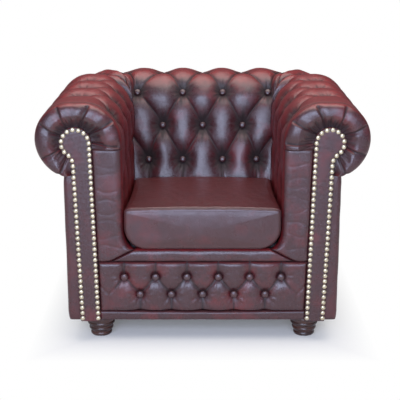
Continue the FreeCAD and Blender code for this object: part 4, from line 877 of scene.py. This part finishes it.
def seat_lip():
    low, high = APRON_HALF - LIP_MITRE - 2 * FIT_GAP, OPENING_HALF - 2 * FIT_GAP
    foot = LIP_FOOT + FIT_GAP
    ripple = waves(90, 0.07)

    def half(z):
        return high + (low - high) * (LIP_TOP - z) / (LIP_TOP - foot)

    def face(x, z, to_left, to_right):
        ends = np.minimum(to_left, to_right)
        reach = LIP_DEPTH - 0.013 * rounded(LIP_TOP - z, 0.018) - 0.005 * rounded(z - foot, 0.010)
        reach = reach - 0.004 * rounded(ends, 0.008) - 0.0012 * ripple(x, z)
        # Painted shade at the ends of the lip and along its foot.
        fold = 0.6 * (1 - smooth(ends / 0.004)) + 0.7 * (1 - smooth((z - foot) / 0.005))
        return reach, np.clip(fold, 0, 1)

    panel("seat_lip", foot, LIP_TOP, lambda z: -half(z), half, face, "leather", OXBLOOD, "front_lip")


def bottom_band():
    half_width = beside_facing(BODY_FOOT) + INSIDE
    ripple = waves(94, 0.09)
    top = APRON_FOOT - FIT_GAP

    def face(x, z, to_left, to_right):
        share = (z - BODY_FOOT) / (top - BODY_FOOT)
        reach = BAND_DEPTH - 0.007 * rounded(z - BODY_FOOT, 0.008) - 0.006 * rounded(top - z, 0.008)
        stitch = np.abs(top - 0.004 - z)
        # Painted shade along the top edge, under the apron; a thin darker line marks the stitching.
        fold = 0.35 * np.exp(-(stitch / 0.0012) ** 2) + 0.8 * (share > 0.93)
        return reach - 0.0010 * ripple(x, z), np.clip(fold, 0, 1)

    piece = panel("bottom_band", BODY_FOOT, top, lambda z: -half_width + 0 * z,
                  lambda z: half_width + 0 * z, face, "leather", OXBLOOD, "bottom_band", fill=0.4)
    bend_edge(piece, top)


def bend_edge(piece, top):
    """The band's top edge sags a little towards the middle."""
    for vertex in piece.data.vertices:
        share = max((vertex.co.z - (top - 0.015)) / 0.015, 0.0)
        vertex.co.z -= BAND_SAG * share * (1 - (vertex.co.x / 0.34) ** 2)


APRON_PITCH = 0.101
APRON_HIGH = 0.220
APRON_LOW = 0.161
APRON_SPOTS = ([(APRON_PITCH * step, APRON_HIGH) for step in (-2.5, -1.5, -0.5, 0.5, 1.5, 2.5)]
               + [(APRON_PITCH * step, APRON_LOW) for step in (-2, -1, 0, 1, 2)])
apron_tufts = Tufts(APRON_SPOTS, 101)


def front_apron():
    top = LIP_FOOT - APRON_SEAM
    spin = np.random.default_rng(103)
    pulls = [(x + spin.uniform(-0.006, 0.006), z, spin.uniform(0.5, 1.0)) for x, z in APRON_SPOTS]

    def face(x, z, to_left, to_right):
        column, row = x / APRON_PITCH, (z - APRON_LOW) / (APRON_HIGH - APRON_LOW)
        inside_grid = smooth((2.75 - np.abs(column)) / 0.25)
        swell = pillow_height(column, row, 1)
        swell = 1 + (swell - 1) * inside_grid
        # The dark value is painted shade: in the button hollows, along the pulled pleats and at the rounded
        # edges.
        depth, dark = apron_tufts.depth(x, z, column, row, -99.0, APRON_PITCH, last_row=1,
                                        step=APRON_HIGH - APRON_LOW, crease=0.0, tuft=0.009,
                                        reach=0.019, hollow_shade=0.55, hollow_shade_reach=0.020)
        dark = dark * np.where(np.abs(column) < 2.8, 1, 0)
        reach = APRON_DEPTH - 0.0075 * (1 - swell) - depth
        for x0, z0, weight in pulls:
            towards = np.where(z0 > 0.19, z - z0, z0 - z)
            off = (x - x0 + 0.12 * (z - z0)) / 0.0030
            line = np.exp(-off ** 2) * smooth(towards / 0.006) * (1 - smooth((towards - 0.030) / 0.02))
            reach = reach - 0.0018 * weight * line
            dark = np.maximum(dark, 0.45 * weight * line)
        edges = np.minimum(np.minimum(z - APRON_FOOT, top - z), np.minimum(to_left, to_right))
        reach = reach - 0.012 * rounded(edges, 0.014)
        dark = np.maximum(dark, 0.8 * (1 - smooth(edges / 0.005)))
        return np.maximum(reach, 0.006), dark

    def half(z):
        return beside_facing(z) + INSIDE

    panel("front_apron_cover", APRON_FOOT, top, lambda z: -half(z), half, face, "tufted_leather",
          OXBLOOD, "front_apron", fill=0.8)


def nail_places():
    line = key_line(0.0, NAIL_FOOT)
    run = np.sum(np.linalg.norm(np.diff(line, axis=0), axis=1))
    return evenly(line, int(round(run / NAIL_PITCH)) + 1)


def facing(side):
    """Keyhole facing: its edge rolls over, and the leather puckers between the nails."""
    count = 720
    foot = BODY_FOOT + FIT_GAP
    shares = np.array([0.0, 0.04, 0.12, 0.25, 0.42, 0.6, 0.8, 1.0])
    rim = np.stack([evenly(key_line(FACING_MARGIN - share * FACING_ROUNDING, foot), count)
                    for share in shares])
    across = rim[..., 0]
    height = rim[..., 1]
    near = np.full(across.shape, 9.0)
    for u, z in nail_places():
        near = np.minimum(near, np.hypot(across - u, height - z))
    turn = 0.0045 * rounded(shares[:, None] * FACING_ROUNDING, 0.005)
    pucker = 0.0020 * (1 - np.exp(-(near / 0.0085) ** 2))
    y = FACING_FACE + turn + 0.0006 - pucker * 0.6
    side_y = np.full(across[:1].shape, FACING_FACE + FACING_THICKNESS)
    mid_u, mid_z = 0.5 * (across[-1] + across[-1][::-1]), height[-1]
    fill_u = across[-1] + (mid_u - across[-1]) * 0.999
    rows_u = [across[:1], across, (across[-1:] + fill_u[None]) / 2]
    rows_z = [height[:1], height, mid_z[None]]
    rows_y = [side_y, y, np.full((1, count), FACING_FACE - 0.0006)]
    u, z, y = np.concatenate(rows_u), np.concatenate(rows_z), np.concatenate(rows_y)
    points = np.stack([side * (INSIDE + u), y, z], axis=-1)
    folds = np.zeros(u.shape)
    # Painted shade round each nail and along the facing's outer edge.
    folds[1:-1] = 0.55 * np.exp(-(near / 0.0085) ** 2) + 0.5 * (shares[:, None] < 0.03)
    mesh = Mesh()
    index = mesh.grid(points, np.clip(folds, 0, 1))
    half = count // 2
    for row in (index[-1], index[0]):
        for step in range(half - 1):
            mesh.face([row[step], row[step + 1], row[count - 2 - step], row[count - 1 - step]])
    mesh.face(list(index[:, 0]) + [index[0, -1]] + list(index[::-1, -1])[:-1])
    name = SIDES[side]
    mesh.build(name + "_facing_cover", [name + "_facing"], "leather", OXBLOOD)


def turned_solid(mesh, centre, axis, profile, count):
    """A round form about an axis, from pairs of radius and height."""
    axis = np.asarray(axis, float) / np.linalg.norm(axis)
    across = np.cross(axis, (0.31, 0.9, 0.21))
    across /= np.linalg.norm(across)
    upright = np.cross(axis, across)
    angles = np.linspace(0, 2 * math.pi, count, endpoint=False)[None, :, None]
    radius = np.array([pair[0] for pair in profile])[:, None, None]
    rise = np.array([pair[1] for pair in profile])[:, None, None]
    points = (np.asarray(centre) + radius * (across * np.cos(angles) + upright * np.sin(angles))
              + rise * axis)
    index = mesh.grid(points, around=True)
    for ring in (index[0], index[-1]):
        mesh.face(ring)


def nails(side):
    """Domed brass nails with a thin rim."""
    profile = [(0.0074, 0.0), (0.0078, 0.0005)]
    for angle in np.radians([8, 22, 36, 50, 64, 78, 87]):
        profile.append((0.0076 * math.cos(angle) ** 0.85, 0.0007 + 0.0046 * math.sin(angle)))
    mesh = Mesh()
    spin = np.random.default_rng(110 + side)
    for u, z in nail_places():
        tilt = spin.uniform(-0.06, 0.06, 2)
        turned_solid(mesh, (side * (INSIDE + u), FACING_FACE, z), (tilt[0], -1.0, tilt[1]), profile, 20)
    name = SIDES[side]
    mesh.build(name + "_nail_line", [name + "_nails"], "nails", BRASS)


for side in SIDES:
    scroll_front(side)
    front_border(side)
    facing(side)
    nails(side)
seat_lip()
bottom_band()
front_apron()


# Covered buttons.

BUTTON_RADIUS = 0.012
BUTTON_RISE = 0.0035
APRON_BUTTON_SEAT = 0.010
BUTTON_PROFILE = [(0.0095, -0.0015), (0.0112, 0.0), (0.0120, 0.0018), (0.0118, 0.0036), (0.0106, 0.0056),
                  (0.0086, 0.0072), (0.0058, 0.0083), (0.0028, 0.0089), (0.0006, 0.0091)]


def button_mesh(places):
    mesh = Mesh()
    for centre, axis in places:
        turned_solid(mesh, centre, axis, BUTTON_PROFILE, 28)
    rings = len(BUTTON_PROFILE)
    # Painted shade round the foot of each button, fading towards its top.
    mesh.folds = [np.repeat(np.linspace(0.75, 0.0, rings) ** 2, len(part) // rings) for part in mesh.folds]
    return mesh


def cover_buttons(name, node_name, entries):
    """Buttons seated in the hollows: each entry is a place, its side, its roll and its spot."""
    places = []
    for place, side, roll, (across, along) in entries:
        low = place(side, np.float64(across), *roll.at(along, TUFT_DEPTH - BUTTON_RISE))
        top = place(side, np.float64(across), *roll.at(along, 0.0))
        places.append((low, top - low))
    button_mesh(places).build(name, [node_name], "button_leather", BUTTON_HIDE)


def buttons():
    clear = ARM_LENGTH - 2 * BUTTON_RADIUS
    for side, name in SIDES.items():
        spots = [spot for spot in ARM_SPOTS if spot[0] < clear or spot[1] == ROWS[0]]
        cover_buttons(name + "_arm_studs", name + "_arm_buttons",
                      [(arm_place, side, arm_roll, spot) for spot in spots])
    entries = []
    for spot in BACK_SPOTS:
        for side in ((-1, 1) if spot[0] else (1,)):
            entries.append((back_place, side, back_roll, spot))
    cover_buttons("back_studs", "back_buttons", entries)
    places = [((x, FRONT_Y - APRON_DEPTH + APRON_BUTTON_SEAT, z), (0.0, -1.0, 0.0)) for x, z in APRON_SPOTS]
    button_mesh(places).build("apron_studs", ["apron_buttons"], "button_leather", BUTTON_HIDE)


# The loose seat cushion.

CUSHION_WIDTH = 0.500
CUSHION_DEPTH = 0.535
CUSHION_THICK = 0.150
CUSHION_FALL = 0.034
CUSHION_CORNER = 0.072
CUSHION_SHOULDER = 0.015
CUSHION_CROWN = 0.014
CUSHION_WAIST = 0.005
CUSHION_FOOT = 0.3144
CUSHION_FRONT = -0.4410
CUSHION_EDGE = 0.014


def cushion_ring(share, count):
    """Outline across the cushion at a share of its depth, closed, with the crown on top."""
    thick = CUSHION_THICK - CUSHION_FALL * share
    half = CUSHION_WIDTH / 2 - CUSHION_WAIST * math.sin(math.pi * share)
    high = thick - CUSHION_CROWN
    low_arc = arc((half - CUSHION_CORNER, CUSHION_CORNER), CUSHION_CORNER, -math.pi / 2, 0, 24)
    top_arc = arc((half - CUSHION_SHOULDER, high - CUSHION_SHOULDER), CUSHION_SHOULDER, 0,
                  math.pi / 2, 18)
    swell = CUSHION_CROWN * math.sin(math.pi * min(max(share, 0.06), 0.94)) ** 0.5
    reach = np.linspace(1 - CUSHION_SHOULDER / half, 0, 50)[1:]
    crown = np.stack([half * reach, high + swell * (1 - reach ** 2)], axis=-1)
    line = evenly(np.concatenate([[(0.0, 0.0)], low_arc, top_arc, crown]), count)
    mirror = line[-2:0:-1] * (-1, 1)
    return np.concatenate([line, mirror])


def edge_turn(degrees):
    """How far the cushion's rounded edge has turned in, and how far it lies behind the end."""
    angle = math.radians(degrees)
    return CUSHION_EDGE * (1 - math.cos(angle)), CUSHION_EDGE * (1 - math.sin(angle))


def ring_normals(ring):
    along = np.roll(ring, -1, axis=0) - np.roll(ring, 1, axis=0)
    normal = np.stack([along[:, 1], -along[:, 0]], axis=-1)
    return normal / (np.linalg.norm(normal, axis=1)[:, None] + 1e-12)


def cushion():
    """Boxed cushion: crowned top, sewn edges and a swelling front band."""
    count = 170
    rows, folds = [], []
    ripple, wide, fine = waves(120, 0.05), waves(121, 0.17), waves(122, 0.022)
    centre = np.array([0.0, 0.062])
    front_ring = cushion_ring(0.0, count)
    front_inset = front_ring - ring_normals(front_ring) * CUSHION_EDGE
    for scale in np.linspace(0.02, 1.0, 46)[:-1]:
        ring = centre + (front_inset - centre) * scale
        bulge = 0.006 * (1 - scale ** 2.5)
        rows.append((ring, CUSHION_FRONT - bulge))
        folds.append(np.zeros(len(ring)))
    for turn in np.linspace(90, 0, 16):
        inset, behind = edge_turn(turn)
        y = CUSHION_FRONT + behind
        seam = math.exp(-((turn - 38) / 7) ** 2)
        rows.append((front_ring - ring_normals(front_ring) * (inset + 0.0022 * seam), y))
        # Painted shade in the seam groove round the front edge.
        folds.append(np.full(len(front_ring), 0.75 * math.exp(-((turn - 38) / 5) ** 2)))
    straight = CUSHION_DEPTH - 2 * CUSHION_EDGE
    for step in np.linspace(0, 1, 150)[1:]:
        ring = cushion_ring(step, count)
        y = CUSHION_FRONT + CUSHION_EDGE + straight * step
        height = ring[:, 1]
        thick = CUSHION_THICK - CUSHION_FALL * step
        top_seam = np.exp(-((height - (thick - CUSHION_CROWN - 0.011)) / 0.0022) ** 2)
        low_seam = np.exp(-((height - 0.026) / 0.0022) ** 2)
        seam = np.maximum(top_seam, low_seam) * (np.abs(ring[:, 0]) > 0.14)
        rows.append((ring - ring_normals(ring) * (0.0022 * seam)[:, None], y))
        # Painted shade in the seam grooves along the sides.
        folds.append(0.75 * seam)
    back_ring = cushion_ring(1.0, count)
    for turn in np.linspace(0, 90, 12)[1:]:
        inset, before = edge_turn(turn)
        y = CUSHION_FRONT + CUSHION_DEPTH - before
        rows.append((back_ring - ring_normals(back_ring) * inset, y))
        folds.append(np.zeros(len(back_ring)))
    points = np.stack([np.stack([ring[:, 0], np.full(len(ring), y), CUSHION_FOOT + ring[:, 1]], axis=-1)
                       for ring, y in rows])
    x, y, z = points[..., 0], points[..., 1], points[..., 2]
    top = smooth((z - CUSHION_FOOT - 0.08) / 0.05)
    sat = np.exp(-((x / 0.17) ** 2 + ((y + 0.17) / 0.17) ** 2))
    lift = 0.0016 * wide(x, y) + 0.0009 * ripple(x, y) + 0.0003 * fine(x, y) - 0.005 * sat
    points[..., 2] += top * lift
    face = smooth((CUSHION_FRONT + 0.02 - y) / 0.02)
    points[..., 1] += face * (0.0012 * wide(x, z * 1.4) + 0.0007 * ripple(x, z))
    mesh = Mesh()
    index = mesh.grid(points, np.clip(np.stack(folds), 0, 1), around=True)
    mesh.face(index[0])
    mesh.face(index[-1])
    mesh.build("seat_pad", ["cushion_cover", "cushion_foam"], "cushion_leather", SEAT_HIDE, fill=0.9,
               body="seat_cushion")


# Outside covers, and the turned feet.

OUTSIDE_TOP = 0.558
PANEL = 0.003
FOOT_OUT = 0.337
FOOT_FRONT_SET = 0.030
FOOT_BACK_SET = 0.088
FOOT_RADIUS = 0.0495
FOOT_BASE = 0.034
GLIDE_HEIGHT = 0.003


def outside_wall(name, node_name, plan, seed):
    """A thin padded wall over a plan line, from the body's foot to the roll."""
    line = evenly(np.asarray(plan), 190)
    z = np.linspace(BODY_FOOT, OUTSIDE_TOP - FIT_GAP, 120)[:, None]
    along = np.gradient(line, axis=0)
    normal = np.stack([along[:, 1], -along[:, 0]], axis=-1)
    normal /= np.linalg.norm(normal, axis=1)[:, None]
    normal *= np.sign(np.sum(normal * line, axis=1).mean())
    run = distances(line)
    ends = np.minimum(run, run[-1] - run)[None, :]
    edges = np.minimum(np.minimum(z - BODY_FOOT, OUTSIDE_TOP - z), ends)
    ripple, wide = waves(seed, 0.08), waves(seed + 1, 0.25)
    puff = 0.0022 * smooth(edges / 0.03) - 0.0015 * (1 - smooth(edges / 0.008))
    puff = puff + 0.0008 * ripple(run[None, :], z) + 0.0014 * wide(run[None, :], z)
    level = z + 0 * puff
    outer = np.stack([line[:, 0] + normal[:, 0] * puff, line[:, 1] + normal[:, 1] * puff, level], axis=-1)
    within = line - normal * PANEL
    inner = np.stack([within[:, 0] + 0 * z, within[:, 1] + 0 * z, level], axis=-1)
    # Painted shade along the wall's edges.
    fold = 0.6 * (1 - smooth(edges / 0.005))
    mesh = Mesh()
    closed_cover(mesh, outer, fold, inner)
    mesh.build(name, [node_name], "leather", OUTSIDE_HIDE, fill=0.3)


def outside_covers():
    out = INSIDE + ARM_WIDTH
    for side, name in SIDES.items():
        neck = INSIDE + edge_line(BODY_FOOT, FACING_MARGIN, False) - 0.012
        front = FRONT_Y - SCROLL_CORE + 0.001
        corner = 0.011
        turn = arc((out - corner, front + corner), corner, -math.pi / 2, 0, 10)
        back = arc((INSIDE, CORNER_Y), ARM_WIDTH, 0, math.pi / 2, 40)
        plan = np.concatenate([[(neck, front)], turn, back]) * (side, 1)
        outside_wall(name + "_outside", name + "_outside_cover", plan, 130 + 3 * side)
    y = CORNER_Y + ARM_WIDTH
    half = INSIDE - FIT_GAP
    outside_wall("back_panel", "outside_back_cover", [(-half, y), (half, y)], 140)


def foot_profile():
    """Half outline of a turned foot from its base up, with rounded rings."""
    wide, base, foot, top = FOOT_RADIUS, FOOT_BASE, GLIDE_HEIGHT, BODY_FOOT
    line = [(base - 0.002, foot), (base, foot + 0.002)]
    for ring in (3, 2, 1):
        radius = wide - (wide - base) * ring / 3
        level = top - 0.007 - (top - foot - 0.014) * ring / 3
        for angle in np.linspace(-80, 80, 9):
            turn = math.radians(angle)
            line.append((radius - 0.0022 + 0.0030 * math.cos(turn),
                         level - 0.001 + 0.0046 * math.sin(turn)))
        line.append((radius - 0.0012, level + 0.0052))
        line.append((radius + 0.0012, level + 0.0100))
    line += [(wide - 0.001, top - 0.0085), (wide, top - 0.006), (wide - 0.0015, top - 0.003),
             (wide - 0.006, top - 0.0005)]
    return line


def feet():
    profile = foot_profile()
    for name, y in (("front", FRONT_Y + FOOT_FRONT_SET), ("back", CORNER_Y + FOOT_BACK_SET)):
        mesh = Mesh()
        for side in SIDES:
            turned_solid(mesh, (side * FOOT_OUT, y, 0.0), (0.0, 0.0, 1.0), profile, 72)
        mesh.build(name + "_turned_feet", [name + "_feet"], "foot_wood", MAHOGANY)


# Deck cloth under the cushion, and dust cloth under the frame.

DECK_DIP = 0.0008
DUST_SAG = 0.0020
DUST_THICKNESS = 0.001


def cloth_sheet(name, node_name, x, y, top, foot):
    """A stretched cloth between two heights."""
    mesh = Mesh()
    folds = np.zeros_like(x)
    closed_cover(mesh, np.stack([x, y, top], axis=-1), folds, np.stack([x, y, foot], axis=-1))
    piece = mesh.build(name, [node_name], "lining", LINING)


def deck_cloth():
    """Dips a little between the springs, and stays under the cushion."""
    shown = frame["nodes"]["deck_cover"]
    corners = np.array([shown.matrix_world @ vertex.co for vertex in shown.data.vertices])
    low, high = corners.min(axis=0), corners.max(axis=0)
    x, y = np.meshgrid(np.linspace(low[0], high[0], 90), np.linspace(low[1], high[1], 120))
    to_sides, to_ends = np.minimum(x - low[0], high[0] - x), np.minimum(y - low[1], high[1] - y)
    edge = smooth(np.minimum(to_sides, to_ends) / 0.02)
    dip = DECK_DIP * edge * (0.5 + 0.5 * waves(151, 0.09)(x, y).clip(-1, 1))
    foot = np.full_like(x, low[2])
    cloth_sheet("deck_cloth", "deck_cover", x, y, np.maximum(high[2] - dip, low[2] + 0.0002), foot)


def dust_cloth():
    """Tacked under the frame, with the corners at the back cut off."""
    outer = ARM_WIDTH - PANEL
    turn = outer * math.sqrt(0.5)
    edges = np.array([FRONT_Y + FIT_GAP, CORNER_Y, CORNER_Y + turn, CORNER_Y + outer])
    halves = np.array([INSIDE + outer, INSIDE + outer, INSIDE + turn, INSIDE])
    line = np.linspace(edges[0], edges[-1], 120)
    half = np.interp(line, edges, halves)[:, None]
    share = np.linspace(-1, 1, 90)[None, :]
    x, y = half * share, line[:, None] + 0 * share
    middle = (line[:, None] - edges[0]) / (edges[-1] - edges[0]) * 2 - 1
    sag = DUST_SAG * (1 - share ** 4) * (1 - middle ** 4)
    foot = BODY_FOOT - sag
    cloth_sheet("dust_cloth", "dust_cover", x, y, foot + DUST_THICKNESS, foot)


buttons()
cushion()
outside_covers()
deck_cloth()
dust_cloth()
feet()


# Camera, light and floor.

LENS = 90.25
SENSOR = 36.0
SHIFT = -0.0066
CAMERA_PLACE = (0.0, -3.476, 1.331)
CAMERA_TILT = 0.2732
LAMP_AIM = (0, 0, 0.5)
FLOOR_REACH = 6.0


def lamp(name, place, width, height, power, tint):
    data = bpy.data.lights.new(name, "AREA")
    data.shape = "RECTANGLE"
    data.size, data.size_y = width, height
    data.energy = power
    data.color = tint
    made = bpy.data.objects.new(name, data)
    made.location = place
    aim = Vector(LAMP_AIM) - Vector(place)
    made.rotation_euler = aim.to_track_quat("-Z", "Y").to_euler()
    bpy.context.scene.collection.objects.link(made)


def camera():
    made = bpy.data.objects.new("camera", bpy.data.cameras.new("camera"))
    made.data.lens = LENS
    made.data.sensor_width = SENSOR
    made.data.shift_x = SHIFT
    made.location = CAMERA_PLACE
    made.rotation_euler = (math.pi / 2 - CAMERA_TILT, 0.0, 0.0)
    bpy.context.scene.collection.objects.link(made)
    bpy.context.scene.camera = made


def world():
    """Paler in front of the chair than behind it, and white where the camera sees it."""
    made = bpy.data.worlds.new("room")
    look = Look(made)
    bpy.context.scene.world = made
    background = look.nodes["Background"]
    background.inputs["Strength"].default_value = 1.0
    toward = look.node("ShaderNodeSeparateXYZ")
    look.link(look.node("ShaderNodeTexCoord").outputs["Generated"], toward.inputs[0])
    behind = look.spread(toward.outputs["Y"], -0.35, 0.25)
    look.link(look.mix(behind, (0.40, 0.45, 0.56), (0.13, 0.13, 0.14)), background.inputs["Color"])
    white = look.node("ShaderNodeBackground", Color=(1.0, 1.0, 1.0, 1.0), Strength=1.0)
    seen = look.node("ShaderNodeLightPath").outputs["Is Camera Ray"]
    look.mix_shaders(seen, background, white, "World Output")


def pale_floor():
    """Keeps the shadow near the chair, and is white further out where the camera sees it."""
    mesh = bpy.data.meshes.new("floor")
    mesh.from_pydata([(-FLOOR_REACH, -FLOOR_REACH, 0), (FLOOR_REACH, -FLOOR_REACH, 0),
                      (FLOOR_REACH, FLOOR_REACH, 0), (-FLOOR_REACH, FLOOR_REACH, 0)], [], [(0, 1, 2, 3)])
    floor = bpy.data.objects.new("floor", mesh)
    bpy.context.scene.collection.objects.link(floor)
    look, shader = new_look("pale floor")
    place = look.coordinates()
    specks = look.noise(place, 30.0)
    look.link(look.mix(specks, (0.80, 0.77, 0.72), (0.84, 0.81, 0.76)), shader.inputs["Base Color"])
    shader.inputs["Roughness"].default_value = 0.9
    glow = look.node("ShaderNodeEmission", Strength=1.0)
    axes = look.node("ShaderNodeSeparateXYZ")
    look.link(place, axes.inputs[0])
    aside, ahead = (look.spread(look.calculate("ABSOLUTE", axes.outputs[axis]), low, high, 0.12, 1.0)
                    for axis, low, high in (("X", 0.34, 0.56), ("Y", 0.38, 0.60)))
    far = look.calculate("MAXIMUM", aside, ahead)
    seen = look.node("ShaderNodeLightPath").outputs["Is Camera Ray"]
    look.mix_shaders(look.calculate("MULTIPLY", seen, far), shader, glow, "Material Output")
    mesh.materials.append(look.owner)


bpy.context.scene.view_settings.view_transform = "Standard"
camera()
world()
lamp("front light", (-0.4, -4.2, 1.8), 3.2, 2.2, 190, (0.62, 0.72, 1.0))
lamp("top light", (0.1, 0.1, 3.0), 3.4, 2.6, 85, (1.0, 0.94, 0.90))
pale_floor()
